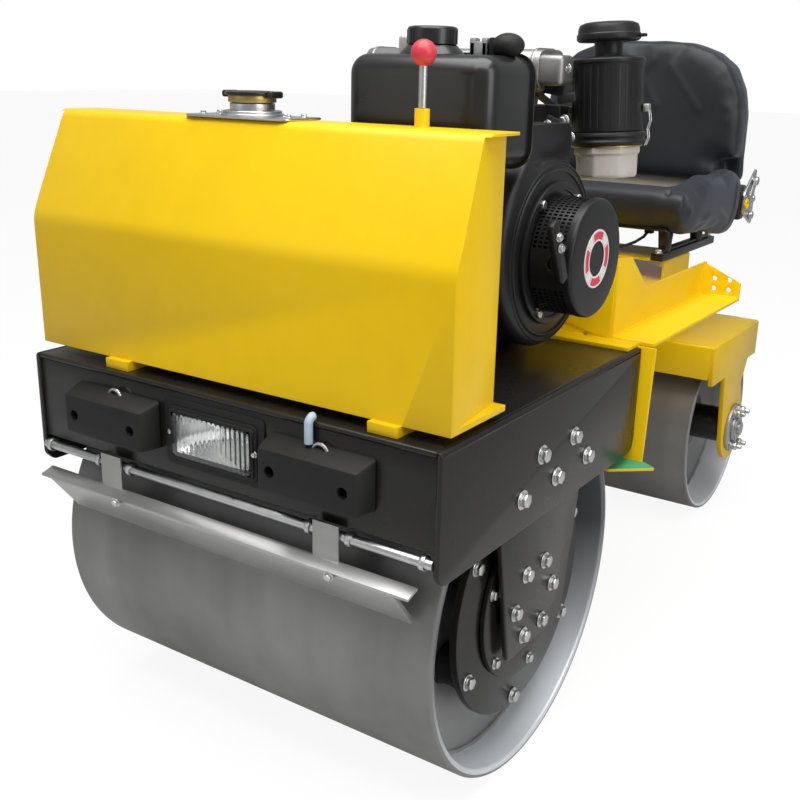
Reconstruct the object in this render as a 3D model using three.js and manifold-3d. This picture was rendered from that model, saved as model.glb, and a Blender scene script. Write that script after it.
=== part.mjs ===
// Small ride-on road roller: a wide vibrating drum in a black front frame, a narrow steered drum
// under a yellow rear frame, with the engine between the water tank and the seat.
// Millimetres, +Z up. The machine drives towards -Y and +X is its left side.
// The origin lies on the ground, midway along the machine and on its centre plane.

import * as THREE from "three";
import { mergeVertices } from "three/addons/utils/BufferGeometryUtils.js";
import Module from "manifold-3d";

const wasm = await Module();
wasm.setup();

// ---------------------------------------------------------------- driving dimensions

const gap = 0.3;                 // left between pieces that bear on each other
const scraperGap = 6;            // from a scraper's tip to its drum
const endPlay = 1;               // from a shaft's end to the plate that it runs in
const turnGap = 6;               // round what swings past a fixed piece
const lap = 1;                   // how far shapes that are fused or cut run into each other
const nickShare = 0.3;           // of a rounded corner's size, where its chamfers meet

const wheelbase = 1170;          // front axle to rear axle

const frontDrum = { radius: 280, width: 700, shell: 14, webInset: 62, web: 12, tube: 8, bore: 102, round: 5 };
const drumDisc = { radius: 190, thickness: 12, inset: 14, bufferRadius: 150, hubRadius: 62, shaftRadius: 40 };
const rearDrum = { radius: 212.5, width: 524, shell: 12, webInset: 70, web: 10, tube: 6, bore: 38, round: 4 };
const rearHub = { shaftRadius: 32, radius: 42, flangeRadius: 66, flangeThickness: 10 };

// Black front frame; lengths along Y are measured from the front axle.
const frame = {
  sideGap: 4.5,                  // drum end to hanger
  hanger: 8,
  side: 8,
  front: -302,
  rear: 318,
  top: 600,
  bottom: 420,
  deck: 8,
  panel: 6,
  panelBottom: 466,
  panelSetback: 3,
  rearRound: 25,
  frontChamfer: 14,
  cornerRound: 6,
  wallGap: 4,                    // to the yellow wall behind it
};
const drainPipe = { x: 175, y: -309, radius: 6, low: 572, reach: 40 };
const hangerPlate = {
  top: 535, bottom: 210, shoulder: 411, topHalf: 125, bottomHalf: 88, tail: 190, tailLow: 445, round: 10,
};

const bumper = {
  inner: 102, outer: 276, depth: 36, low: 500, high: 571, slope: 11, endTaper: 7, hole: 8, holeInset: 28, round: 4,
};
const headlight = { halfWidth: 82, low: 492, high: 572, bezel: 8, lens: 4, bezelDepth: 5 };

const scraperRod = { radius: 7, y: -300, z: 452 };
const scraper = {
  sheet: 4, endInset: 5, skirtInset: 28, strapX: 203, strapHalf: 21,
  strapTop: 470, foldZ: 420, lip: 22, lipDrop: 7, tipAngle: 166, root: 6.4,
};

// Water tank, standing on feet across the front of the deck. Its side faces run in towards the rear.
const waterTank = {
  halfWidth: 370, sheet: 4, sideInset: 18, taperStart: -272, foot: 13.7, top: 961, flange: 8,
  frontLow: -283, crease: -285, creaseZ: 808, shoulder: -220, bend: 12, rear: -150,
};
const tankFoot = { left: 277, right: -197, halfWidth: 22.5, reach: 10, rearSetback: 10 };
const filler = {
  x: -22, y: -181, plateX: 92, plateY: 30, plate: 3, ring: 43, ringHeight: 7, neck: 30, neckHeight: 10, cap: 44,
  capHeight: 15, capRound: 4,
};
const lever = { x: 241, y: -165, socket: 9.5, socketHeight: 22, rod: 5.3, ballZ: 1048, ball: 16 };

// Engine: crankshaft across the machine, flywheel and starter on the left.
const engine = {
  crankY: 141, crankZ: 769, left: 190, right: -125, front: 20, rear: 274, sumpTop: 850, slope: 40, lowRound: 30,
  highRound: 20, foot: 12, footInset: 20, footReach: 25, footLength: 40,
};
const cylinder = {
  left: 170, right: 30, front: 75, rear: 235, top: 985, intakeWidth: 35, intakeGap: 8, intakeEnd: 12,
};
const rockerCover = { left: 160, right: 45, front: 88, rear: 222, top: 1040, round: 10 };
// The volute grows from its low side round to the duct that feeds the cylinder.
const blower = {
  radius: 140, growth: 27, depth: 92, ductFront: 62, ductInset: 25, ductTop: 955, ductRound: 20, ductAngle: 150,
  steps: 48,
};
const recoil = {
  radius: 88, ring: 108, ringDepth: 8, depth: 72.4, round: 5, boss: 13, bossX: 334, bossY: 50, bossZ: 772,
};
const grip = { x: 347, y: 19, z: 793, halfLength: 49, halfWidth: 9, halfDepth: 8, lean: 27 };
const fuelTank = { left: 300, right: 72, front: -102, rear: 34, low: 905, top: 1048, round: 22, corner: 12 };
const fuelCap = { x: 161, y: -20, radius: 34.5, neck: 28, neckHeight: 12, height: 24, round: 3 };
// The air cleaner leans a little to the right; its heights are measured along it from its lower end.
const airCleaner = {
  x: 267, y: 350, low: 866, lean: 3.8, bowl: 52, ring: 20, canister: 112, neck: 31, cap: 24,
  bowlRadius: 52, radius: 58, ringProud: 4, neckRadius: 23, capRadius: 50, capRound: 9, round: 5,
};
const muffler = {
  front: 242, rear: 334, low: 1000, high: 1062, left: 190, right: -140, round: 24, portX: 80, portHalf: 20,
  portDrop: 40, pipe: 14, tail: 40,
};
const beltGuard = { thickness: 60, radius: 115, drop: 120, reach: 30, step: 100, lowRound: 30, topRound: 60 };

// Yellow rear frame.
const rearFrame = {
  wall: 6, wallTop: 740, footDepth: 40, sheet: 5, panelX: 312, panelTop: 670, hornEnd: 392, hornTop: 733,
  slopeEnd: 473, length: 800, shelfHalf: 387, legBottom: 400, legIn: 60, legProud: 16, legProudTop: 22,
  tailHalf: 205, tailEnd: 1032,
};
const gusset = { setback: 14, lowTop: 636, hole: 5, spread: 15, lowHole: 14, highHole: 34 };
const footPlate = { thickness: 4, tipX: 416, tipY: 312, innerX: 354, reach: 62, round: 6 };
const spine = { half: 110, low: 500, tail: 130, boss: 60, bossLow: 463 };

// Steered rear yoke, measured from the rear axle along Y.
const yoke = {
  half: rearDrum.width / 2 + 38, plate: 10, top: 455, front: -211, rear: 130, frontSkirt: 378, sideSkirt: 361, rearSkirt: 402,
  legFront: -104, legRear: 36, legRound: 78, stepZ: 320, flare: 34, flareZ: 372, frontFall: 14,
};
const rearBearing = { flange: 58, plate: 7.7, shoulder: 4, hub: 30, nick: 2, reach: 23.7 };
const kingpin = { collar: 52, clear: 1 };
const rearScraper = { sheet: 4, half: rearDrum.width / 2 - 12, tipAngle: 43, fold: 6, root: 2 };

// Steering: a wheel on a raked column, and a cylinder that swings the yoke.
const steering = {
  y: 470, wheelY: 592, wheelZ: 985, rim: 160, grip: 12, rimRise: 10, hub: 26, hubHeight: 26, spoke: 10,
  spokeLow: 6, spokeHigh: 14, spokeRoot: 22, column: 24, neck: 60, shaft: 16, shaftLength: 40, base: 60,
  baseHeight: 10, baseGap: 2, wheelGap: 6,
};
const ram = {
  arm: 165, armHalf: 30, barrel: 24, rod: 10, eye: 20, eyeThickness: 22, start: 720, barrelLength: 260, z: 486, armGap: 1,
  wall: 20, boreGap: 1, inside: 90, rodEnd: 5, bracketTop: 530, bracketHalf: 14, bracketLow: 12, bracketRear: 12,
  bracketLength: 28, lugHalf: 12, lugHeight: 10, lugEnd: 4,
};

// Seat, measured from the front axle along Y. The cushion slopes down to the rear between two raised wings,
// and the lower end of the back stands between the wings too.
const seatBase = { half: 200, front: 866, rear: 1022, top: 650, sheet: 5 };
const rail = { x: 190, front: 842, rear: 1180, height: 16, width: 26, post: 12, postFront: 885, postRear: 1085 };
const seat = {
  half: 250, front: 812, panHalf: 200, panLow: 712, pan: 8, panFront: 852, panRear: 1215,
  frontLow: 744, frontTop: 804, rearTop: 762, roundLow: 20, roundTop: 28, roundRear: 6,
  backFront: 1138, backRear: 1236, backGap: 4, backLow: 786, backStep: 838, backShoulder: 852, lowRound: 20,
  backArch: [[250, 900], [249, 940], [238, 1000], [212, 1052], [172, 1083], [120, 1102], [60, 1110]],
};
const wing = {
  width: 42, gap: 5,
  outline: [
    [820, 748, 12], [866, 712, 14], [1030, 697], [1110, 676, 30], [1198, 684, 30], [1198, 800, 36], [1140, 833, 30],
    [950, 828, 30], [832, 794, 16],
  ],
};
const seatHinge = { thickness: 5, low: 688, high: 822, front: 1204, rear: 1284 };

// ---------------------------------------------------------------- places that follow

const frontReach = frame.front + frame.panelSetback - bumper.depth;
const yFront = -(frontReach + wheelbase + rearDrum.radius) / 2;
const yRear = yFront + wheelbase;
const hangerX = frontDrum.width / 2 + frame.sideGap;
const sideX = hangerX + frame.hanger + gap;
const outerX = sideX + frame.side;
const deckHalf = sideX - gap;
const wallY = frame.rear + frame.wallGap;
const shelfTop = frame.top + rearFrame.sheet;

// ---------------------------------------------------------------- materials

function paint(color, roughness, metalness) {
  return new THREE.MeshStandardMaterial({ color, roughness, metalness });
}
const finishes = {
  yellow: [0xf2c40f, 0.35, 0.1],
  black: [0x17181a, 0.25, 0.2],
  steel: [0x8b8d8e, 0.5, 0.9],
  zinc: [0xb9bcbd, 0.35, 0.95],
  enamel: [0x202124, 0.45, 0.2],
  rubber: [0x1c1d1d, 0.85, 0],
  vinyl: [0x232427, 0.65, 0],
  glass: [0xcfd4d6, 0.1, 0.3],
  cream: [0xd8d0bd, 0.4, 0],
  alloy: [0x9a9c9c, 0.5, 0.8],
  red: [0xd23a44, 0.35, 0],
};

// ---------------------------------------------------------------- shape helpers

function boxBetween(low, high) {
  const size = high.map((value, i) => value - low[i]);
  const centre = high.map((value, i) => (value + low[i]) / 2);
  return new THREE.BoxGeometry(...size).translate(...centre);
}

// An outline whose corners are rounded: each point is [a, b] or [a, b, radius].
function roundedShape(points) {
  const shape = new THREE.Shape();
  const count = points.length;
  points.forEach(([a, b, radius = 0], i) => {
    const here = new THREE.Vector2(a, b);
    if (radius === 0) {
      if (i === 0) shape.moveTo(a, b);
      else shape.lineTo(a, b);
      return;
    }
    const before = new THREE.Vector2(...points[(i + count - 1) % count]);
    const after = new THREE.Vector2(...points[(i + 1) % count]);
    const start = here.clone().add(before.sub(here).setLength(radius));
    const end = here.clone().add(after.sub(here).setLength(radius));
    if (i === 0) shape.moveTo(start.x, start.y);
    else shape.lineTo(start.x, start.y);
    shape.quadraticCurveTo(a, b, end.x, end.y);
  });
  shape.closePath();
  return shape;
}

function extrude(shape, from, to, basis, curveSegments = 8) {
  const options = { depth: to - from, bevelEnabled: false, curveSegments };
  const geometry = new THREE.ExtrudeGeometry(shape, options);
  return geometry.translate(0, 0, from).applyMatrix4(basis);
}
const vector = (x, y, z) => new THREE.Vector3(x, y, z);
const basisX = new THREE.Matrix4().makeBasis(vector(0, 1, 0), vector(0, 0, 1), vector(1, 0, 0));
const basisY = new THREE.Matrix4().makeBasis(vector(-1, 0, 0), vector(0, 0, 1), vector(0, 1, 0));
const basisZ = new THREE.Matrix4();
// Outlines are (y, z) for alongX and (x, y) for alongZ; alongY takes (x, z) and mirrors it for its basis.
const alongX = (points, from, to) => extrude(roundedShape(points), from, to, basisX);
const alongZ = (points, from, to) => extrude(roundedShape(points), from, to, basisZ);
const alongY = (points, from, to) =>
  extrude(roundedShape(points.map(([x, z, radius]) => [-x, z, radius]).reverse()), from, to, basisY);

// Solids of revolution from [radius, distance along the axis] pairs.
function turned(points, segments = 48) {
  return new THREE.LatheGeometry(points.map(([r, h]) => new THREE.Vector2(r, h)), segments);
}
const turnedX = (points, segments) => turned(points, segments).rotateZ(-Math.PI / 2);
const turnedZ = (points, segments) => turned(points, segments).rotateX(Math.PI / 2);

function cylinderX(radius, from, to, y, z, segments = 24) {
  return turnedX([[0, from], [radius, from], [radius, to], [0, to]], segments).translate(0, y, z);
}
function cylinderY(radius, from, to, x, z, segments = 24) {
  return turned([[0, from], [radius, from], [radius, to], [0, to]], segments).translate(x, 0, z);
}
function cylinderZ(radius, from, to, x, y, segments = 24) {
  return turnedZ([[0, from], [radius, from], [radius, to], [0, to]], segments).translate(x, y, 0);
}

function toSolid(geometry) {
  const bare = geometry.clone();
  bare.deleteAttribute("normal");
  bare.deleteAttribute("uv");
  const merged = mergeVertices(bare, 1e-4);
  const vertProperties = new Float32Array(merged.attributes.position.array);
  const triVerts = new Uint32Array(merged.index.array);
  return new wasm.Manifold(new wasm.Mesh({ numProp: 3, vertProperties, triVerts }));
}
function toGeometry(solid) {
  const mesh = solid.getMesh();
  const geometry = new THREE.BufferGeometry();
  geometry.setAttribute("position", new THREE.BufferAttribute(mesh.vertProperties, 3));
  geometry.setIndex(new THREE.BufferAttribute(mesh.triVerts, 1));
  return geometry;
}
function joined(...geometries) {
  return toGeometry(geometries.map(toSolid).reduce((sum, solid) => sum.add(solid)));
}
function cut(geometry, ...tools) {
  return toGeometry(tools.map(toSolid).reduce((rest, tool) => rest.subtract(tool), toSolid(geometry)));
}
function common(a, b) {
  return toGeometry(toSolid(a).intersect(toSolid(b)));
}

function addPiece(group, name, finish, geometry) {
  const mesh = new THREE.Mesh(geometry, paint(...finishes[finish]));
  mesh.name = name;
  group.add(mesh);
}
function mirrored(geometry) {
  return toGeometry(toSolid(geometry).mirror([1, 0, 0]));
}
// The machine's left piece is given; the right one is its mirror image.
function addPair(group, name, finish, geometry) {
  addPiece(group, `${name}_left`, finish, geometry);
  addPiece(group, `${name}_right`, finish, mirrored(geometry));
}

// ---------------------------------------------------------------- drums

// A rolled shell, and inside it the two web plates on the tube that houses the shaft.
function addDrum(group, name, { radius, width, shell, webInset, web, tube, bore, round }) {
  const half = width / 2;
  const inner = radius - shell;
  const nick = round * nickShare;
  addPiece(group, name, "steel", turnedX([
    [inner, -half], [radius - round, -half], [radius - nick, -half + nick], [radius, -half + round],
    [radius, half - round], [radius - nick, half - nick], [radius - round, half], [inner, half], [inner, -half],
  ], 72));
  const outer = half - webInset;
  const rim = inner - gap;
  addPiece(group, `${name}_core`, "steel", turnedX([
    [bore, -outer], [rim, -outer], [rim, web - outer], [bore + tube, web - outer], [bore + tube, outer - web],
    [rim, outer - web], [rim, outer], [bore, outer], [bore, -outer],
  ], 72));
}

// A shaft's whole profile from its positive half: the same steps on both sides, closed on the axis.
function mirroredProfile(half) {
  const end = half.at(-1)[1];
  const lower = half.map(([r, h]) => [r, -h]).reverse();
  return [[0, -end], ...lower, ...half, [0, end]];
}

function addFrontDrum(machine) {
  const group = new THREE.Group();
  group.position.set(0, yFront, frontDrum.radius);
  machine.add(group);
  addDrum(group, "front_drum", frontDrum);
  const webFace = frontDrum.width / 2 - frontDrum.webInset + gap;
  const discIn = frontDrum.width / 2 - drumDisc.inset - drumDisc.thickness;
  const discOut = discIn + drumDisc.thickness;
  const end = hangerX - endPlay;
  const half = [
    [drumDisc.shaftRadius, webFace], [drumDisc.bufferRadius, webFace], [drumDisc.bufferRadius, discIn],
    [drumDisc.radius, discIn], [drumDisc.radius, discOut], [drumDisc.hubRadius, discOut], [drumDisc.hubRadius, end],
  ];
  addPiece(group, "front_axle", "black", turnedX(mirroredProfile(half), 48));
}

function addRearDrum(group) {
  addDrum(group, "rear_drum", rearDrum);
  const start = rearDrum.width / 2 - rearDrum.webInset + gap;
  const flangeEnd = start + rearHub.flangeThickness;
  addPiece(group, "rear_axle", "black", turnedX(mirroredProfile([
    [rearHub.shaftRadius, start], [rearHub.flangeRadius, start], [rearHub.flangeRadius, flangeEnd],
    [rearHub.radius, flangeEnd], [rearHub.radius, yoke.half - yoke.plate - endPlay],
  ]), 40));
}

// ---------------------------------------------------------------- front frame

function addFrontFrame(group) {
  const { front, rear, top, bottom } = frame;
  addPair(group, "side_plate", "black", alongX([
    [front, bottom + frame.frontChamfer, frame.cornerRound], [front + frame.frontChamfer, bottom, frame.cornerRound],
    [rear, bottom, frame.rearRound], [rear, top, frame.cornerRound], [front, top],
  ], sideX, outerX));
  addPiece(group, "deck", "black", boxBetween([-deckHalf, front, top - frame.deck], [deckHalf, rear, top]));
  const under = top - frame.deck - gap;
  const panelFront = front + frame.panelSetback;
  addPiece(group, "front_panel", "black", boxBetween(
    [-deckHalf, panelFront, frame.panelBottom],
    [deckHalf, panelFront + frame.panel, under],
  ));
  addPiece(group, "rear_panel", "black", boxBetween(
    [-deckHalf, rear - frame.panel, frame.panelBottom],
    [deckHalf, rear, under],
  ));
  const { topHalf, bottomHalf, shoulder, tail, tailLow, round } = hangerPlate;
  addPair(group, "hanger", "black", alongX([
    [-bottomHalf, hangerPlate.bottom, round], [bottomHalf, hangerPlate.bottom, round], [topHalf, shoulder],
    [tail, tailLow], [tail, hangerPlate.top], [-topHalf, hangerPlate.top], [-topHalf, shoulder],
  ], hangerX, hangerX + frame.hanger));
}

function addFrontFittings(group) {
  const face = frame.front + frame.panelSetback;
  const back = face - gap;
  const tip = face - bumper.depth;
  const side = alongX(
    [
      [tip, bumper.low, bumper.round], [back, bumper.low], [back, bumper.high],
      [tip, bumper.high - bumper.slope, bumper.round],
    ],
    bumper.inner, bumper.outer,
  );
  const plan = alongZ([
    [bumper.inner + bumper.endTaper, tip], [bumper.outer - bumper.endTaper, tip],
    [bumper.outer, back], [bumper.inner, back],
  ], bumper.low - lap, bumper.high + lap);
  const holes = [bumper.inner + bumper.holeInset, bumper.outer - bumper.holeInset].map((x) =>
    cylinderY(bumper.hole, tip - lap, back + lap, x, (bumper.low + bumper.high - bumper.slope) / 2, 20));
  addPair(group, "bumper_block", "rubber", cut(common(side, plan), ...holes));

  const { halfWidth, low, high, bezel, bezelDepth } = headlight;
  const bezelFace = back - bezelDepth;
  addPiece(group, "headlight_housing", "black", boxBetween([-halfWidth, bezelFace, low], [halfWidth, back, high]));
  addPiece(group, "headlight_lens", "glass", boxBetween(
    [-halfWidth + bezel, bezelFace - gap - headlight.lens, low + bezel],
    [halfWidth - bezel, bezelFace - gap, high - bezel],
  ));

  const d = drainPipe;
  const alongDeck = frame.top + gap + d.radius;
  addPiece(group, "drain_pipe", "cream", joined(
    cylinderZ(d.radius, d.low, alongDeck, d.x, d.y),
    new THREE.SphereGeometry(d.radius, 24, 16).rotateX(Math.PI / 2).translate(d.x, d.y, alongDeck),
    cylinderY(d.radius, d.y, d.y + d.reach, d.x, alongDeck),
  ));
}

function addFrontScraper(group) {
  const { radius, y, z } = scraperRod;
  addPiece(group, "scraper_rod", "zinc", cylinderX(radius, -sideX + gap, sideX - gap, y, z));
  const t = scraper.sheet;
  const drumHalf = frontDrum.width / 2;
  const back = y - radius - gap;
  const lipY = back - scraper.lip;
  const lipZ = scraper.foldZ - scraper.lipDrop;
  const angle = THREE.MathUtils.degToRad(scraper.tipAngle);
  const reach = frontDrum.radius + scraperGap;
  const tipY = reach * Math.cos(angle);
  const tipZ = frontDrum.radius + reach * Math.sin(angle);
  const flange = alongX([
    [back, scraper.foldZ - t], [back, scraper.foldZ], [lipY, lipZ], [lipY, lipZ - t],
  ].reverse(), scraper.endInset - drumHalf, drumHalf - scraper.endInset);
  const skirt = alongX([
    [lipY, lipZ], [lipY, lipZ - t], [tipY - t, tipZ], [tipY, tipZ + t], [lipY + scraper.root, lipZ],
  ], scraper.skirtInset - drumHalf, drumHalf - scraper.skirtInset);
  const straps = [-1, 1].map((sign) => boxBetween(
    [sign * scraper.strapX - scraper.strapHalf, back - t, scraper.foldZ - t],
    [sign * scraper.strapX + scraper.strapHalf, back, scraper.strapTop],
  ));
  addPiece(group, "front_scraper", "steel", joined(flange, skirt, ...straps));
}

// ---------------------------------------------------------------- water tank and its fittings

function addWaterTank(group) {
  const w = waterTank;
  const low = frame.top + w.foot;
  const body = alongX([
    [w.frontLow, low], [w.rear, low], [w.rear, w.top], [w.shoulder, w.top, w.bend], [w.crease, w.creaseZ, w.bend],
  ], -w.halfWidth, w.halfWidth);
  const beside = w.halfWidth + lap;
  const behind = w.rear + lap;
  const sideCut = alongZ([
    [w.halfWidth, w.taperStart], [beside, w.taperStart], [beside, behind], [w.halfWidth - w.sideInset, behind],
  ], low + w.flange, w.top - w.sheet);
  const f = tankFoot;
  const feet = [f.left, f.right].map((x) => boxBetween(
    [x - f.halfWidth, w.frontLow - f.reach, frame.top + gap],
    [x + f.halfWidth, w.rear - f.rearSetback, low + lap],
  ));
  const socket = cylinderZ(lever.socket, w.top - lap, w.top + lever.socketHeight, lever.x, lever.y);
  addPiece(group, "water_tank", "yellow", joined(cut(body, sideCut, mirrored(sideCut)), socket, ...feet));
}

function addTankFittings(group) {
  const f = filler;
  const base = waterTank.top + gap;
  const plateTop = base + f.plate;
  const ringTop = plateTop + f.ringHeight;
  const neckTop = ringTop + f.neckHeight;
  const plate = boxBetween([f.x - f.plateX, f.y - f.plateY, base], [f.x + f.plateX, f.y + f.plateY, plateTop]);
  const ring = cylinderZ(f.ring, plateTop - lap, ringTop, f.x, f.y, 40);
  const neck = cylinderZ(f.neck, ringTop - lap, neckTop, f.x, f.y, 40);
  addPiece(group, "filler_neck", "zinc", joined(plate, ring, neck));
  const capLow = neckTop + gap;
  const capTop = capLow + f.capHeight;
  addPiece(group, "filler_cap", "black", turnedZ([
    [0, capLow], [f.cap, capLow], [f.cap, capTop - f.capRound], [f.cap - f.capRound, capTop], [0, capTop],
  ], 40).translate(f.x, f.y, 0));

  const rodLow = waterTank.top + lever.socketHeight + gap;
  const steps = 10;
  const onRod = Math.asin(lever.rod / lever.ball);
  const ball = Array.from({ length: steps }, (_, i) => {
    const angle = onRod + ((Math.PI - onRod) * i) / steps;
    return [lever.ball * Math.sin(angle), lever.ballZ - lever.ball * Math.cos(angle)];
  });
  addPiece(group, "hand_lever", "red", turnedZ([
    [0, rodLow], [lever.rod, rodLow], ...ball, [0, lever.ballZ + lever.ball],
  ], 24).translate(lever.x, lever.y, 0));
}

// ---------------------------------------------------------------- engine

function addEngine(group) {
  const e = engine;
  const c = cylinder;
  const deckTop = frame.top + gap;
  const footTop = deckTop + e.foot;
  addPiece(group, "engine_block", "enamel", joined(
    alongX([
      [e.front, footTop], [e.rear, footTop], [e.rear, e.sumpTop - e.slope, e.lowRound],
      [e.rear - e.slope, e.sumpTop, e.highRound], [e.front + e.slope, e.sumpTop, e.highRound],
      [e.front, e.sumpTop - e.slope, e.lowRound],
    ], e.right, e.left),
    boxBetween(
      [e.right + e.footInset, e.front - e.footReach, deckTop],
      [e.left - e.footInset, e.front + e.footLength, footTop + lap],
    ),
    boxBetween(
      [e.right + e.footInset, e.rear - e.footLength, deckTop],
      [e.left - e.footInset, e.rear, footTop + lap],
    ),
  ));
  const r = rockerCover;
  const a = airCleaner;
  const intake = a.low + a.bowl + a.ring + c.intakeGap;
  const intakeTop = c.top - c.intakeGap;
  addPiece(group, "cylinder_head", "alloy", joined(
    boxBetween([c.right, c.front, e.sumpTop + gap], [c.left, c.rear, c.top]),
    alongX([
      [r.front, c.top - lap], [r.rear, c.top - lap], [r.rear, r.top, r.round], [r.front, r.top, r.round],
    ], r.right, r.left),
    boxBetween([c.left - c.intakeWidth, c.rear - lap, intake], [c.left, a.y, intakeTop]),
    boxBetween([c.left - lap, a.y - c.intakeWidth, intake], [a.x - a.radius - c.intakeEnd, a.y, intakeTop]),
  ));

  const b = blower;
  const blowerOut = e.left + gap + b.depth;
  const ductAt = THREE.MathUtils.degToRad(b.ductAngle);
  const volute = Array.from({ length: b.steps }, (_, i) => {
    const angle = (2 * Math.PI * i) / b.steps;
    const radius = b.radius + (angle <= ductAt ? (b.growth * angle) / ductAt : 0);
    return [e.crankY - radius * Math.sin(angle), e.crankZ - radius * Math.cos(angle)];
  }).reverse();
  const duct = alongX([
    [b.ductFront, e.crankZ], [c.rear, e.crankZ], [c.rear, b.ductTop, b.ductRound], [b.ductFront, b.ductTop, b.ductRound],
  ], e.left + gap, blowerOut - b.ductInset);
  addPiece(group, "blower_housing", "enamel", joined(alongX(volute, e.left + gap, blowerOut), duct));

  const start = blowerOut + gap;
  const cup = recoil;
  const ringEnd = start + cup.ringDepth;
  const end = start + cup.depth;
  const nick = cup.round * nickShare;
  addPiece(group, "recoil_starter", "enamel", joined(
    turnedX([
      [0, start], [cup.ring, start], [cup.ring, ringEnd], [cup.radius, ringEnd], [cup.radius, end - cup.round],
      [cup.radius - nick, end - nick], [cup.radius - cup.round, end], [0, end],
    ], 48).translate(0, e.crankY, e.crankZ),
    cylinderY(cup.boss, cup.bossY, e.crankY, cup.bossX, cup.bossZ),
  ));
  const handle = boxBetween(
    [-grip.halfDepth, -grip.halfWidth, -grip.halfLength],
    [grip.halfDepth, grip.halfWidth, grip.halfLength],
  );
  handle.rotateX(THREE.MathUtils.degToRad(grip.lean)).translate(grip.x, grip.y, grip.z);
  addPiece(group, "starter_grip", "enamel", handle);

  const g = beltGuard;
  const guardLow = e.crankZ - g.drop;
  const guardTop = e.crankZ + g.radius;
  const guardRear = e.crankY + g.radius;
  addPiece(group, "belt_guard", "enamel", alongX([
    [e.crankY - g.radius, guardLow, g.lowRound], [guardRear + g.reach, guardLow, g.lowRound],
    [guardRear + g.reach, guardLow + g.step, g.lowRound], [guardRear, guardTop, g.topRound],
    [e.crankY - g.radius, guardTop, g.topRound],
  ], e.right - gap - g.thickness, e.right - gap));
}

function addEngineFittings(group) {
  const t = fuelTank;
  const tank = new THREE.ExtrudeGeometry(roundedShape([
    [t.front + t.round, t.low + t.round, t.corner], [t.rear - t.round, t.low + t.round, t.corner],
    [t.rear - t.round, t.top - t.round, t.corner], [t.front + t.round, t.top - t.round, t.corner],
  ]), {
    depth: t.left - t.right - 2 * t.round, curveSegments: 4,
    bevelEnabled: true, bevelThickness: t.round, bevelSize: t.round, bevelSegments: 4,
  });
  tank.translate(0, 0, t.right + t.round).applyMatrix4(basisX);
  const k = fuelCap;
  const neckTop = t.top + k.neckHeight;
  const capTop = neckTop + k.height;
  const cap = turnedZ([
    [0, t.top - lap], [k.neck, t.top - lap], [k.neck, neckTop], [k.radius, neckTop],
    [k.radius, capTop - k.round], [k.radius - k.round, capTop], [0, capTop],
  ], 40).translate(k.x, k.y, 0);
  addPiece(group, "fuel_tank", "enamel", joined(tank, cap));

  const a = airCleaner;
  const leaning = new THREE.Group();
  leaning.position.set(a.x, a.y, a.low);
  leaning.rotation.y = -THREE.MathUtils.degToRad(a.lean);
  group.add(leaning);
  const bowlTop = a.bowl - gap;
  addPiece(leaning, "air_cleaner_bowl", "cream", turnedZ([
    [0, 0], [a.bowlRadius - a.round, 0], [a.bowlRadius, a.round], [a.bowlRadius, bowlTop], [0, bowlTop],
  ], 40));
  const ringRadius = a.radius + a.ringProud;
  const canister = a.bowl + a.ring;
  const neck = canister + a.canister;
  const lid = neck + a.neck;
  const top = lid + a.cap;
  addPiece(leaning, "air_cleaner", "enamel", turnedZ([
    [0, a.bowl], [ringRadius, a.bowl], [ringRadius, canister], [a.radius, canister],
    [a.radius, neck - a.round], [a.radius - a.round, neck], [a.neckRadius, neck], [a.neckRadius, lid],
    [a.capRadius, lid], [a.capRadius, top - a.capRound], [a.capRadius - a.capRound, top], [0, top],
  ], 40));

  const m = muffler;
  const body = alongX([
    [m.front, m.low, m.round], [m.rear, m.low, m.round], [m.rear, m.high, m.round], [m.front, m.high, m.round],
  ], m.right, m.left);
  const port = boxBetween(
    [m.portX - m.portHalf, cylinder.rear + gap, m.low - m.portDrop],
    [m.portX + m.portHalf, m.front + m.round, m.low + m.round / 2],
  );
  const pipe = cylinderX(m.pipe, m.right - m.tail, m.right + lap, (m.front + m.rear) / 2, (m.low + m.high) / 2);
  addPiece(group, "muffler", "steel", joined(body, port, pipe));
}

// ---------------------------------------------------------------- rear frame

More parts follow.
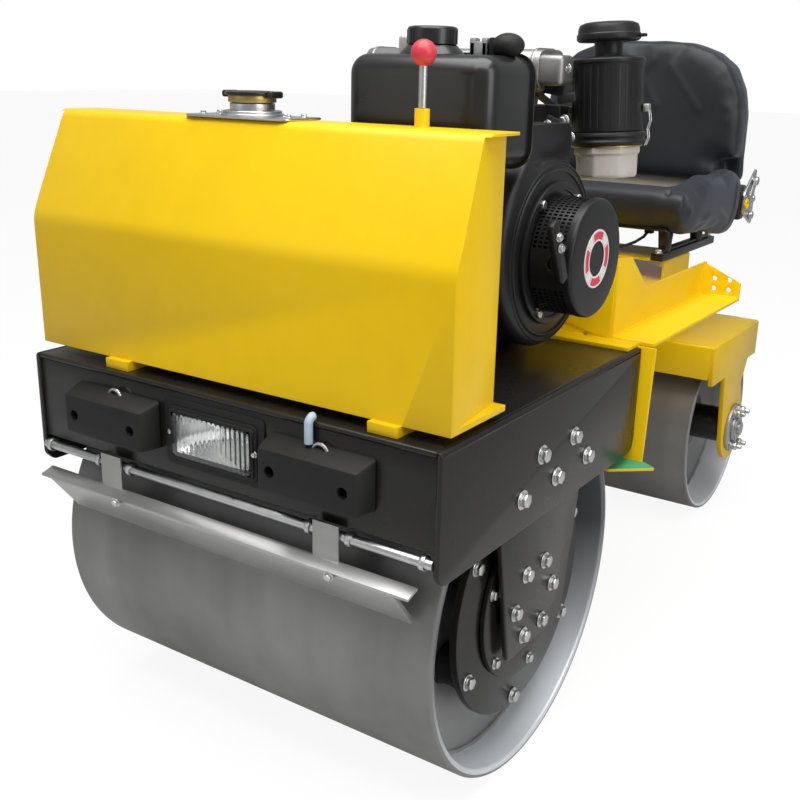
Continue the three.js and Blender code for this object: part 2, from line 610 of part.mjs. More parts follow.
function addRearFrame(group) {
  const f = rearFrame;
  const wallBack = wallY + f.wall;
  const wallBase = frame.top + gap;
  addPiece(group, "rear_wall", "yellow", joined(
    boxBetween([-f.panelX, wallY, wallBase], [f.panelX, wallBack, f.wallTop]),
    boxBetween([-deckHalf, frame.rear - f.footDepth, wallBase], [deckHalf, wallBack, wallBase + f.wall]),
  ));
  const p = footPlate;
  const leg = alongY([
    [outerX - f.legIn, f.legBottom], [outerX + f.legProud, f.legBottom], [outerX + f.legProudTop, frame.top],
    [outerX - f.legIn, frame.top],
  ], wallY, wallBack);
  const foot = alongZ([
    [outerX - f.legIn, wallY - p.reach], [p.innerX, wallY - p.reach], [p.tipX, p.tipY, p.round],
    [outerX + f.legProud, wallBack], [outerX - f.legIn, wallBack],
  ], f.legBottom - p.thickness, f.legBottom + lap);
  addPair(group, "rear_leg", "yellow", joined(leg, foot));

  const panelIn = f.panelX - f.sheet;
  const shelfLow = frame.top + gap + f.wall + gap - f.sheet;
  const floorTop = shelfLow + f.sheet;
  const rear = f.length;
  const panel = alongX([
    [wallBack + gap, shelfLow], [rear, shelfLow], [rear, f.panelTop], [f.slopeEnd, f.panelTop],
    [f.hornEnd, f.hornTop], [wallBack + gap, f.wallTop],
  ], panelIn, f.panelX);
  const shelfRear = rear - gusset.setback;
  const shelf = alongZ([
    [f.panelX - lap, wallBack + gap], [f.shelfHalf, wallBack + gap], [f.shelfHalf, shelfRear + f.sheet],
    [f.panelX - lap, shelfRear + f.sheet],
  ], shelfLow, floorTop);
  const end = alongY([
    [f.panelX - lap, shelfLow], [f.shelfHalf, shelfLow], [f.shelfHalf, gusset.lowTop], [f.panelX - lap, f.panelTop],
  ], shelfRear, shelfRear + f.sheet);
  const mid = (f.panelX + f.shelfHalf) / 2;
  const { spread, lowHole, highHole } = gusset;
  const holes = [[-spread, lowHole], [spread, lowHole], [-spread, highHole], [spread, highHole]].map(([x, up]) =>
    cylinderY(gusset.hole, shelfRear - lap, shelfRear + f.sheet + lap, mid + x, floorTop + up, 16));
  addPair(group, "side_rail", "yellow", cut(joined(panel, shelf, end), ...holes));
  addPiece(group, "floor_plate", "yellow", alongZ([
    [-panelIn + gap, wallBack + gap], [panelIn - gap, wallBack + gap], [panelIn - gap, rear], [f.tailHalf, rear],
    [f.tailHalf, f.tailEnd], [-f.tailHalf, f.tailEnd], [-f.tailHalf, rear], [-panelIn + gap, rear],
  ], shelfLow, floorTop));

  const s = spine;
  addPiece(group, "spine", "yellow", joined(
    boxBetween([-s.half, wallBack + gap, s.low], [s.half, wheelbase + s.tail, shelfLow - gap]),
    cylinderZ(s.boss, s.bossLow, s.low + lap, 0, wheelbase, 48),
  ));
  return floorTop;
}

// ---------------------------------------------------------------- steered rear yoke

function addRearYoke(machine) {
  const group = new THREE.Group();
  group.position.set(0, yRear, rearDrum.radius);
  machine.add(group);
  const level = (z) => z - rearDrum.radius;
  const y = yoke;
  const legIn = y.half - y.plate;
  const t = y.plate;
  const coverHalf = legIn - gap;
  const plateTop = level(y.top);
  const armTop = level(ram.z) - ram.eyeThickness / 2 - ram.armGap;
  const k = kingpin;
  addPiece(group, "yoke_cover", "yellow", joined(
    boxBetween([-coverHalf, y.front, plateTop - t], [coverHalf, y.rear, plateTop]),
    boxBetween([-coverHalf, y.front, level(y.frontSkirt)], [coverHalf, y.front + t, plateTop - lap]),
    boxBetween([-coverHalf, y.rear - t, level(y.rearSkirt)], [coverHalf, y.rear, plateTop - lap]),
    boxBetween([-ram.arm - ram.armHalf, -ram.armHalf, plateTop - lap], [-spine.boss - turnGap, ram.armHalf, armTop]),
  ));
  const arc = Array.from({ length: 13 }, (_, i) => {
    const angle = Math.PI + (Math.PI * i) / 12;
    return [y.legRound * Math.cos(angle), y.legRound * Math.sin(angle)];
  });
  const leg = alongX([
    ...arc, [y.legRear, level(y.stepZ)], [y.legRear + y.flare, level(y.flareZ)], [y.rear, level(y.flareZ)],
    [y.rear, level(y.top)], [y.front, level(y.top)], [y.front + y.frontFall, level(y.sideSkirt)],
    [y.legFront, level(y.sideSkirt)],
  ], legIn, y.half);
  addPair(group, "yoke_leg", "yellow", leg);
  const b = rearBearing;
  const out = y.half + gap;
  addPair(group, "rear_bearing", "zinc", turnedX([
    [0, out], [b.flange, out], [b.flange, out + b.plate], [b.hub, out + b.plate + b.shoulder],
    [b.hub - b.nick, out + b.reach], [0, out + b.reach],
  ], 32));
  const bossLow = level(spine.bossLow);
  addPiece(group, "kingpin", "black", turnedZ([
    [0, plateTop + gap], [k.collar, plateTop + gap], [k.collar, bossLow - k.clear], [0, bossLow - k.clear],
  ], 40));

  const angle = THREE.MathUtils.degToRad(rearScraper.tipAngle);
  const reach = rearDrum.radius + scraperGap;
  const tip = [reach * Math.cos(angle), reach * Math.sin(angle)];
  const skirtLow = level(y.rearSkirt);
  const s = rearScraper.sheet;
  const face = y.rear + gap;
  addPiece(group, "rear_scraper", "steel", alongX([
    [face, skirtLow - rearScraper.fold], tip, [tip[0] + s, tip[1] + s], [face + s, skirtLow - rearScraper.root],
    [face + s, level(y.top)],
    [face, level(y.top)],
  ], -rearScraper.half, rearScraper.half));

  addRearDrum(group);
}

// ---------------------------------------------------------------- steering

function addSteering(group, floorTop) {
  const s = steering;
  const lean = Math.atan2(s.wheelY - s.y, s.wheelZ - floorTop);
  const length = Math.hypot(s.wheelY - s.y, s.wheelZ - floorTop);
  const pivot = new THREE.Group();
  pivot.position.set(0, s.y, floorTop);
  pivot.rotation.x = -lean;
  group.add(pivot);
  const columnTop = length - s.wheelGap;
  const baseLow = s.base * Math.tan(lean) + s.baseGap;
  const baseTop = baseLow + s.baseHeight;
  addPiece(pivot, "steering_column", "black", turnedZ([
    [0, baseLow], [s.base, baseLow], [s.base, baseTop], [s.column, baseTop], [s.column, columnTop - s.neck],
    [s.shaft, columnTop - s.shaftLength], [s.shaft, columnTop], [0, columnTop],
  ], 32));
  const rimCentre = length + s.rimRise;
  const rim = new THREE.TorusGeometry(s.rim, s.grip, 10, 40).translate(0, 0, rimCentre);
  const hub = cylinderZ(s.hub, length, length + s.hubHeight, 0, 0, 32);
  const spokes = [90, 210, 330].map((degrees) =>
    boxBetween([s.spokeRoot, -s.spoke, length + s.spokeLow], [s.rim, s.spoke, length + s.spokeHigh])
      .rotateZ(THREE.MathUtils.degToRad(degrees)));
  addPiece(pivot, "steering_wheel", "rubber", joined(rim, hub, ...spokes));
}

function addRam(group) {
  const r = ram;
  const barrelEnd = r.start + r.barrelLength;
  const x = -r.arm;
  const bracketRear = r.start - r.bracketRear;
  const bracket = boxBetween(
    [x - r.bracketHalf, bracketRear - r.bracketLength, r.z - r.bracketLow],
    [-spine.half - gap, bracketRear, r.bracketTop],
  );
  const lug = boxBetween(
    [x - r.lugHalf, bracketRear - lap, r.z - r.lugHeight],
    [x + r.lugHalf, r.start + r.lugEnd, r.z + r.lugHeight],
  );
  const bore = r.rod + r.boreGap;
  const barrel = turned([
    [0, r.start], [r.barrel, r.start], [r.barrel, barrelEnd], [bore, barrelEnd], [bore, r.start + r.wall],
    [0, r.start + r.wall],
  ], 32).translate(x, 0, r.z);
  addPiece(group, "ram_barrel", "black", joined(bracket, lug, barrel));
  const eyeY = wheelbase;
  const rod = cylinderY(r.rod, barrelEnd - r.inside, eyeY - r.rodEnd, x, r.z, 24);
  const ring = cylinderZ(r.eye, r.z - r.eyeThickness / 2, r.z + r.eyeThickness / 2, x, eyeY, 32);
  addPiece(group, "ram_rod", "zinc", joined(rod, ring));
}

// ---------------------------------------------------------------- seat

function addSeat(group, floorTop) {
  const b = seatBase;
  const base = floorTop + gap;
  addPiece(group, "seat_base", "yellow", joined(
    boxBetween([-b.half, b.front, b.top - b.sheet], [b.half, b.rear, b.top]),
    boxBetween([-b.half, b.front, base], [-b.half + b.sheet, b.rear, b.top]),
    boxBetween([b.half - b.sheet, b.front, base], [b.half, b.rear, b.top]),
  ));
  const railLow = b.top + gap;
  const railTop = railLow + rail.height;
  const s = seat;
  const panTop = s.panLow + s.pan;
  const rails = [-rail.x, rail.x].map((x) => boxBetween(
    [x - rail.width / 2, rail.front, railLow],
    [x + rail.width / 2, rail.rear, railTop],
  ));
  const posts = [-rail.x, rail.x].flatMap((x) => [rail.postFront, rail.postRear].map((y) =>
    cylinderZ(rail.post, railTop - lap, s.panLow + lap, x, y, 20)));
  const pan = boxBetween([-s.panHalf, s.panFront, s.panLow], [s.panHalf, s.panRear, panTop]);
  addPiece(group, "seat_frame", "black", joined(pan, ...rails, ...posts));

  const cushionLow = panTop + gap;
  const cushionRear = s.backFront - s.backGap;
  const cushion = alongX([
    [s.front, s.frontLow, s.roundLow], [s.panFront, cushionLow], [cushionRear, cushionLow, s.roundRear],
    [cushionRear, s.rearTop, s.roundRear], [s.front, s.frontTop, s.roundTop],
  ], -s.half, s.half);
  const wingSide = alongX(wing.outline, s.half - wing.width, s.half);
  addPiece(group, "seat_cushion", "vinyl", joined(cushion, wingSide, mirrored(wingSide)));
  const between = s.half - wing.width - wing.gap;
  const wingRear = Math.max(...wing.outline.map(([y]) => y)) + wing.gap;
  const arch = [...s.backArch, ...s.backArch.toReversed().map(([x, z]) => [-x, z])];
  const upper = alongY([
    ...arch, [-s.half, s.backShoulder], [-between, s.backStep], [-between, s.backLow, s.lowRound],
    [between, s.backLow, s.lowRound], [between, s.backStep], [s.half, s.backShoulder],
  ], s.backFront, s.backRear);
  const lower = alongY([
    [-s.half, s.backLow, s.lowRound], [s.half, s.backLow, s.lowRound], [s.half, s.backShoulder + lap],
    [-s.half, s.backShoulder + lap],
  ], wingRear, s.backRear);
  addPiece(group, "seat_back", "vinyl", joined(upper, lower));
  const h = seatHinge;
  addPair(group, "seat_hinge", "zinc", boxBetween(
    [s.half + gap, h.front, h.low],
    [s.half + gap + h.thickness, h.rear, h.high],
  ));
}

// ---------------------------------------------------------------- the machine

const machine = new THREE.Group();
const chassis = new THREE.Group();
chassis.position.y = yFront;
machine.add(chassis);

addFrontFrame(chassis);
addFrontFittings(chassis);
addFrontScraper(chassis);
addWaterTank(chassis);
addTankFittings(chassis);
addEngine(chassis);
addEngineFittings(chassis);
const floorTop = addRearFrame(chassis);
addSteering(chassis, floorTop);
addRam(chassis);
addSeat(chassis, floorTop);
addFrontDrum(machine);
addRearYoke(machine);

export default machine;
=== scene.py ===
# Small ride-on road roller: a wide smooth drum in a black front frame, a narrow steered drum under a
# yellow rear frame, and between them the water tank, a single-cylinder diesel engine and the seat.
# It drives towards -Y; +X is its left side. Metres, standing on the ground at z = 0.

import math

import bmesh
import bpy
import numpy as np
from mathutils import Matrix, Vector


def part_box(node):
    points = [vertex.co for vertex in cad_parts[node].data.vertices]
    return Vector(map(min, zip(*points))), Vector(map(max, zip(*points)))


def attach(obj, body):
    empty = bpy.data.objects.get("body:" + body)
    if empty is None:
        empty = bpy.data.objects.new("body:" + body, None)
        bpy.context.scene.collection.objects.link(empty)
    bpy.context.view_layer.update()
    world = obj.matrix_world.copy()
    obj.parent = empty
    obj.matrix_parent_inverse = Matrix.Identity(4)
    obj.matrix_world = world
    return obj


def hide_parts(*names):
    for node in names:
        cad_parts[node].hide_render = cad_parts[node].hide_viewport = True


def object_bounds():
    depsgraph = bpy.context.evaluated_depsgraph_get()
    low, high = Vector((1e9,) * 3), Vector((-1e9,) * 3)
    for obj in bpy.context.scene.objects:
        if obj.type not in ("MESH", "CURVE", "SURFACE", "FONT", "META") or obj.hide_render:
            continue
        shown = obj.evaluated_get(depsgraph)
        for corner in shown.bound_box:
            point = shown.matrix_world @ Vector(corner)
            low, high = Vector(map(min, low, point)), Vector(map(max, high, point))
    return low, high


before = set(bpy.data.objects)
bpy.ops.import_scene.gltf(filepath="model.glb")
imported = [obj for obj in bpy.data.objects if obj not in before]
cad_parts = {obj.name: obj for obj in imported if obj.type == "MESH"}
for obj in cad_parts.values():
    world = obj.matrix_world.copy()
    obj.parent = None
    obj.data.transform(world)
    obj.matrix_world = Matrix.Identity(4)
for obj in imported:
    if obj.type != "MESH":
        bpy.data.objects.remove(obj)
cad_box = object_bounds()


# ---------------------------------------------------------------- studio
# A bright studio corner: a pale painted floor without joints, one broad soft lamp overhead and two
# weak ones at the sides. The camera stands ahead of the machine's left front corner, above the tank.

class Signal:
    """A socket in a finish's nodes. Arithmetic on signals adds Math nodes."""

    def __init__(self, tree, socket):
        self.tree = tree
        self.socket = socket

    def node(self, kind, settings=None, inputs=None, output=0):
        """Adds a shader node of that kind, with its settings first and then its sockets' values or links."""
        made = self.tree.nodes.new("ShaderNode" + kind)
        for key, value in (settings or {}).items():
            if key == "stops":
                stops = made.color_ramp.elements
                stops.remove(stops[1])
                stops[0].position, stops[0].color = value[0][0], (*value[0][1], 1)
                for place, colour in value[1:]:
                    stops.new(place).color = (*colour, 1)
            else:
                setattr(made, key, value)
        for key, value in (inputs or {}).items():
            if isinstance(value, Signal):
                self.tree.links.new(value.socket, made.inputs[key])
            else:
                made.inputs[key].default_value = value
        return Signal(self.tree, made.outputs[output])

    def maths(self, operation, *terms):
        return self.node("Math", {"operation": operation}, dict(enumerate(terms)))

    def __add__(self, other):
        return self.maths("ADD", self, other)

    def __sub__(self, other):
        return self.maths("SUBTRACT", self, other)

    def __rsub__(self, other):
        return self.maths("SUBTRACT", other, self)

    def __mul__(self, other):
        return self.maths("MULTIPLY", self, other)

    __radd__ = __add__
    __rmul__ = __mul__

    def __gt__(self, other):
        return self.maths("GREATER_THAN", self, other)

    def __lt__(self, other):
        return self.maths("LESS_THAN", self, other)


bpy.ops.object.select_all(action="DESELECT")
bpy.ops.object.camera_add(
    location=(0.96343, -1.80805, 1.03133),
    rotation=[math.radians(turn) for turn in (72.296, -1.2003, 34.0631)],
)
camera = bpy.context.object
camera.data.lens = 46.98
camera.data.sensor_width = 36
bpy.context.scene.camera = camera
bpy.context.scene.view_settings.view_transform = "Standard"

for size, power, place in (
    ((3.2, 3.2), 150, (0.3, -0.9, 3.4)),
    ((1.6, 2.4), 34, (3.2, -1.2, 1.9)),
    ((1.6, 2.0), 5, (-1.6, -3.6, 1.6)),
):
    aim = Vector((0, 0, 0.5)) - Vector(place)
    bpy.ops.object.light_add(type="AREA", location=place, rotation=aim.to_track_quat("-Z", "Y").to_euler())
    lamp = bpy.context.object.data
    lamp.shape = "RECTANGLE"
    lamp.size, lamp.size_y = size
    lamp.energy = power

world = bpy.data.worlds.new("studio_air")
world.use_nodes = True
bpy.context.scene.world = world
air = world.node_tree
plain, shown = air.nodes["Background"], air.nodes.new("ShaderNodeBackground")
plain.inputs["Color"].default_value = (0.95, 0.97, 1, 1)
plain.inputs["Strength"].default_value = 0.3
shown.inputs["Color"].default_value = (1, 1, 1, 1)
sight = Signal(air, air.nodes.new("ShaderNodeLightPath").outputs["Is Camera Ray"])
glossy = Signal(air, sight.socket.node.outputs["Is Glossy Ray"])
clear = Signal(air, sight.socket.node.outputs["Is Transmission Ray"])
seen = sight.maths("MINIMUM", sight + 0.12 * glossy + clear, 1)
whole = seen.node("MixShader", {}, {0: seen})
air.links.new(plain.outputs[0], whole.socket.node.inputs[1])
air.links.new(shown.outputs[0], whole.socket.node.inputs[2])
air.links.new(whole.socket, air.nodes["World Output"].inputs["Surface"])

bpy.ops.mesh.primitive_plane_add(size=60, location=(0, 0, cad_box[0][2] - 0.0005))
floor = bpy.context.object
floor.name = "studio_floor"
floor_paint = bpy.data.materials.new("floor_paint")
floor_paint.use_nodes = True
ground = floor_paint.node_tree
matt = ground.nodes["Principled BSDF"]
matt.inputs["Base Color"].default_value = (0.55, 0.55, 0.55, 1)
matt.inputs["Roughness"].default_value = 0.6
glow = ground.nodes.new("ShaderNodeEmission")
glow.inputs["Color"].default_value = (1, 1, 1, 1)
glow.inputs["Strength"].default_value = 1.14
ground.nodes.new("ShaderNodeLightPath")
eye = Signal(ground, ground.nodes["Light Path"].outputs["Is Camera Ray"])
mirrored = Signal(ground, ground.nodes["Light Path"].outputs["Is Glossy Ray"])
share = 0.8 * eye + 0.1 * mirrored
whole = share.node("MixShader", {}, {0: share})
ground.links.new(matt.outputs[0], whole.socket.node.inputs[1])
ground.links.new(glow.outputs[0], whole.socket.node.inputs[2])
ground.links.new(whole.socket, ground.nodes["Material Output"].inputs["Surface"])
floor.data.materials.append(floor_paint)


# ---------------------------------------------------------------- drum shells
# Both drums are rolled from plate, butt-welded, turned on a lathe and sprayed a thin satin grey. The open
# ends are rounded off by hand. Two web plates and a tube that houses the shaft are welded into each shell.

def shaped(test, kind="FACE"):
    """Selects, in edit mode, the faces or edges whose middle and direction pass the test."""
    bpy.ops.mesh.select_mode(type=kind)
    bpy.ops.mesh.select_all(action="DESELECT")
    grid = bmesh.from_edit_mesh(bpy.context.object.data)
    for part in grid.faces if kind == "FACE" else grid.edges:
        if kind == "FACE":
            middle, way = part.calc_center_median(), part.normal
        else:
            ends = [corner.co for corner in part.verts]
            middle, way = (ends[0] + ends[1]) / 2, (ends[1] - ends[0]).normalized()
        if test(middle, way):
            part.select_set(True)
    bmesh.update_edit_mesh(bpy.context.object.data)


def editing(begins):
    """Enters or leaves edit mode on the active piece."""
    bpy.ops.object.mode_set(mode="EDIT" if begins else "OBJECT")


def placed(name):
    """Names the primitive that was just added and puts its place, turn and size into its mesh."""
    piece = bpy.context.object
    piece.name = name
    bpy.ops.object.transform_apply(location=True, rotation=True, scale=True)
    return piece


def chosen(piece):
    """Makes a piece the only selected one and the active one."""
    bpy.ops.object.select_all(action="DESELECT")
    piece.select_set(True)
    bpy.context.view_layer.objects.active = piece


def modified(piece, kind, **settings):
    """Adds a modifier and applies it."""
    chosen(piece)
    change = piece.modifiers.new(kind.lower(), kind)
    for key, value in settings.items():
        setattr(change, key, value)
    bpy.ops.object.modifier_apply(modifier=change.name)


def rounded(piece, width, segments=2, corner=30, clamp=True, smooth=35):
    """Rounds every edge sharper than the corner angle and shades the piece smooth up to that angle."""
    if width:
        modified(piece, "BEVEL", width=width, segments=segments, limit_method="ANGLE",
                 angle_limit=math.radians(corner), use_clamp_overlap=clamp, harden_normals=False)
    chosen(piece)
    bpy.ops.object.shade_smooth_by_angle(angle=math.radians(smooth))


def welded(name, node, *more):
    """A copy of CAD nodes as one clean mesh of flat faces, ready to be shaped further."""
    bpy.ops.object.select_all(action="DESELECT")
    copies = []
    for source in (node, *more):
        copy = bpy.data.objects.new(name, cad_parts[source].data.copy())
        bpy.context.scene.collection.objects.link(copy)
        copy.select_set(True)
        copies.append(copy)
    bpy.context.view_layer.objects.active = copies[0]
    if more:
        bpy.ops.object.join()
    piece = copies[0]
    piece.name = name
    editing(True)
    bpy.ops.mesh.select_all(action="SELECT")
    bpy.ops.mesh.remove_doubles(threshold=0.00002)
    bpy.ops.mesh.dissolve_limited(angle_limit=math.radians(0.6))
    bpy.ops.mesh.select_all(action="DESELECT")
    editing(False)
    return piece


def joined(name, pieces):
    """One piece made of several that touch or stand together."""
    bpy.ops.object.select_all(action="DESELECT")
    for piece in pieces:
        piece.select_set(True)
    bpy.context.view_layer.objects.active = pieces[0]
    bpy.ops.object.join()
    pieces[0].name = name
    return pieces[0]


def fitted(piece, body, slot, finish, *nodes):
    """Gives a piece its finish, fastens it to its body and hides the CAD nodes it stands for."""
    piece.data.materials.clear()
    piece.data.materials.append(finish)
    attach(piece, body)
    if nodes:
        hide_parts(*nodes)
    return piece


def edged(name, node, body, slot, finish, width, segments=2, **more):
    """A CAD node whose own form is kept: its edges are rounded and it gets its finish."""
    piece = welded(name, node)
    rounded(piece, width, segments, **more)
    return fitted(piece, body, slot, finish, node)


def finish(name, constants, varying=None):
    """A finish on the principled shader: its constant sockets, and what varying(place) links to others."""
    made = bpy.data.materials.new(name)
    made.use_nodes = True
    tree = made.node_tree
    shader = tree.nodes["Principled BSDF"]
    for key, value in constants.items():
        shader.inputs[key].default_value = value
    if varying:
        place = Signal(tree, tree.nodes.new("ShaderNodeTexCoord").outputs["Object"])
        for key, signal in varying(place).items():
            tree.links.new(signal.socket, shader.inputs[key])
    return made


def noise(place, scale, detail=3, stretch=None):
    """Soft cloudy variation from 0 to 1; stretch squeezes it along an axis."""
    if stretch:
        place = place.node("Mapping", {}, {"Vector": place, "Scale": stretch})
    return place.node("TexNoise", {}, {"Vector": place, "Scale": scale, "Detail": detail})


def tint(share, first, second):
    """A colour that goes from the first to the second as share goes from 0 to 1."""
    return share.node("Mix", {"data_type": "RGBA"}, {0: share, 6: (*first, 1), 7: (*second, 1)}, output=2)


def bump(height, strength, distance):
    return height.node("Bump", {}, {"Strength": strength, "Distance": distance, "Height": height})


def sprayed_steel(place, inner=0.0, axle=(0, 0, 0)):
    clouds = noise(place, 4, 5)
    streaks = noise(place, 14, 3, (1, 0.12, 0.12))
    specks = noise(place, 260, 2)
    worn = noise(place, 22, 6).maths("SMOOTH_MIN", noise(place, 9, 4), 0.6, 0.1)
    shade = (clouds * 0.55 + streaks * 0.3 + worn * 0.25).node(
        "ValToRGB",
        {"stops": [(0.3, (0.15, 0.148, 0.145)), (0.52, (0.235, 0.233, 0.228)), (0.75, (0.34, 0.338, 0.332))]},
        {"Fac": clouds * 0.55 + streaks * 0.3 + worn * 0.25},
    )
    # Inside the bore the colour is a lighter bluish bare lining with painted light on it: near white towards
    # the bottom as a painted reflection of the floor, and dark towards the top as painted shade.
    if inner:
        flat = place.node("VectorMath", {"operation": "MULTIPLY"}, {0: place, 1: (0, 1, 1)})
        away = flat.node("VectorMath", {"operation": "DISTANCE"}, {0: flat, 1: axle}, output="Value")
        height = Signal(place.tree, place.node("SeparateXYZ", {}, {"Vector": place}).socket.node.outputs["Z"])
        above = height.node("MapRange", {}, {"Value": height, "From Min": 0.02, "From Max": 0.30},
                            output="Result")
        within = (away < inner) * 0.9
        lining_and_painted_reflection = tint(above, (0.92, 0.95, 0.99), (0.13, 0.135, 0.145))
        shade = within.node("Mix", {"data_type": "RGBA"}, {0: within, 6: shade, 7: lining_and_painted_reflection}, output=2)
    return {
        "Base Color": shade,
        "Roughness": 0.36 + 0.22 * clouds,
        "Normal": bump(specks * 0.4 + streaks * 0.8 + worn * 0.5, 0.22, 0.0006),
    }


axle_y = (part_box("front_axle")[0].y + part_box("front_axle")[1].y) / 2
axle_z = (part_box("front_axle")[0].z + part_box("front_axle")[1].z) / 2
rear_y = (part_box("rear_axle")[0].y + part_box("rear_axle")[1].y) / 2
# Inside both drums the finish paints a reflection of the floor low down and shade high up onto the lighter
# lining.
front_drum_paint = finish("satin_drum_paint", {"Metallic": 0.55}, lambda place: sprayed_steel(
    place, 0.274, (0, axle_y, axle_z)))
drum_paint = finish("satin_web_paint", {"Metallic": 0.55}, sprayed_steel)
rear_drum_paint = finish("satin_rear_drum_paint", {"Metallic": 0.55}, lambda place: sprayed_steel(
    place, 0.207, (0, rear_y, 0.2125)))


crosswise, lengthwise = (0, math.pi / 2, 0), (math.pi / 2, 0, 0)


def round_bar(name, radius, depth, location, rotation=(0, 0, 0), vertices=32, **more):
    """A cylinder, upright unless turned."""
    bpy.ops.mesh.primitive_cylinder_add(
        vertices=vertices, radius=radius, depth=depth, location=location, rotation=rotation, **more)
    return placed(name)


def drum_shell(node, plate, lip):
    low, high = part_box(node)
    middle = (low + high) / 2
    radius = (high.z - low.z) / 2
    shell = round_bar(node + "_shell", radius, high.x - low.x, middle, crosswise, vertices=160,
                      end_fill_type="NOTHING")
    modified(shell, "SOLIDIFY", thickness=plate, offset=-1)
    rounded(shell, lip, 4, corner=50, clamp=False)
    return shell


fitted(drum_shell("front_drum", 0.014, 0.0045), "front_roller", "drum_steel", front_drum_paint, "front_drum")
fitted(drum_shell("rear_drum", 0.012, 0.0035), "rear_roller", "drum_steel", rear_drum_paint, "rear_drum")


def hoop(name, major, minor, location, rotation, around, across):
    """A ring of round section, lying flat unless turned."""
    bpy.ops.mesh.primitive_torus_add(major_radius=major, minor_radius=minor, major_segments=around,
                                     minor_segments=across, location=location, rotation=rotation)
    return placed(name)


def drum_inside(node, body, web_x, rim, bead):
    """The webs on their tube, with the weld bead that runs round where each web meets the shell."""
    core = welded(node + "_webs", node)
    low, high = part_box(node)
    middle = (low + high) / 2
    beads = []
    for side in (-1, 1):
        ring = hoop(node + "_weld", rim - bead * 0.5, bead, (side * web_x, middle.y, middle.z), crosswise,
                    120, 8)
        for corner in ring.data.vertices:
            turn = math.atan2(corner.co.z - middle.z, corner.co.y - middle.y)
            corner.co.x += side * 0.0007 * math.sin(turn * 90)
        beads.append(ring)
    whole = joined(node + "_webs", [core, *beads])
    rounded(whole, 0)
    return fitted(whole, body, "drum_steel", drum_paint, node)


drum_inside("front_drum_core", "front_roller", 0.2885, 0.266, 0.004)
drum_inside("rear_drum_core", "rear_roller", 0.1925, 0.2005, 0.0035)


# ---------------------------------------------------------------- drive discs of the front drum
# A round black plate at each end of the drum carries the machine on six rubber buffers, which are bolted
# between it and the web. The hub in its middle turns in the hanger. Plates and hub are gloss black.

def black_gloss(place):
    clouds = noise(place, 5, 4)
    peel = noise(place, 190, 2)
    dust = noise(place, 30, 6).maths("MULTIPLY", clouds, 1)
    return {
        "Base Color": tint(dust, (0.007, 0.0065, 0.006), (0.022, 0.019, 0.017)),
        "Roughness": 0.13 + 0.2 * clouds + 0.12 * dust,
        "Normal": bump(peel + 0.6 * clouds, 0.05, 0.0008),
    }


black_paint = finish("gloss_black_paint", {"IOR": 1.42}, black_gloss)


def plated(place):
    clouds = noise(place, 60, 4)
    grime = noise(place, 160, 3)
    return {
        "Base Color": tint(clouds, (0.5, 0.5, 0.5), (0.74, 0.74, 0.73)),
        "Roughness": 0.2 + 0.25 * clouds,
        "Normal": bump(grime, 0.12, 0.0003),
    }


zinc_plate = finish("bright_zinc_plate", {"Metallic": 1}, plated)


def moulded_rubber(place):
    clouds = noise(place, 18, 4)
    grain = noise(place, 700, 2)
    return {
        "Base Color": tint(clouds, (0.007, 0.007, 0.007), (0.022, 0.021, 0.02)),
        "Roughness": 0.48 + 0.2 * clouds,
        "Normal": bump(grain + clouds, 0.18, 0.0005),
    }


rubber = finish("moulded_rubber", {"IOR": 1.35}, moulded_rubber)


def drawn_out(way):
    """Extrudes the selected faces."""
    bpy.ops.mesh.extrude_region_move(TRANSFORM_OT_translate={"value": way})


def hex_bolt(across=0.018, head=0.0085, washer=0.0024, stem=0.0):
    """A hexagon bolt head on its washer, standing on z = 0 with its threaded end, if any, above it."""
    ring = round_bar("washer", across * 0.78, washer, (0, 0, washer / 2), vertices=24)
    rounded(ring, washer * 0.25, 1)
    hexagon = round_bar("hexagon", across / math.sqrt(3), head, (0, 0, washer + head / 2), vertices=6)
    editing(True)
    shaped(lambda middle, way: way.z > 0.9)
    bpy.ops.mesh.inset(thickness=across * 0.09)
    bpy.ops.transform.translate(value=(0, 0, head * 0.1))
    if stem:
        bpy.ops.mesh.inset(thickness=across * 0.14)
        drawn_out((0, 0, stem))
        bpy.ops.mesh.inset(thickness=across * 0.05)
        bpy.ops.transform.translate(value=(0, 0, across * 0.06))
    editing(False)
    rounded(hexagon, across * 0.025, 1)
    return joined("bolt", [ring, hexagon])


def repeated(name, pattern, places, way, turns=(0.2, 0.7, 1.1, 0.45)):
    """Copies of a pattern that stands on z = 0, set down at places so that its top points along way."""
    upright = Vector(way).to_track_quat("Z", "Y").to_matrix().to_4x4()
    copies = []
    for number, place in enumerate(places):
        copy = pattern.copy()
        copy.data = pattern.data.copy()
        bpy.context.scene.collection.objects.link(copy)
        spin = Matrix.Rotation(turns[number % len(turns)], 4, "Z")
        copy.data.transform(Matrix.Translation(Vector(place)) @ upright @ spin)
        copies.append(copy)
    bpy.data.objects.remove(pattern)
    return joined(name, copies)


def bolted(name, body, pattern, places, way):
    """Zinc-plated bolts alike at those places, fastened to a body."""
    return fitted(repeated(name, pattern, places, way), body, "zinc", zinc_plate)


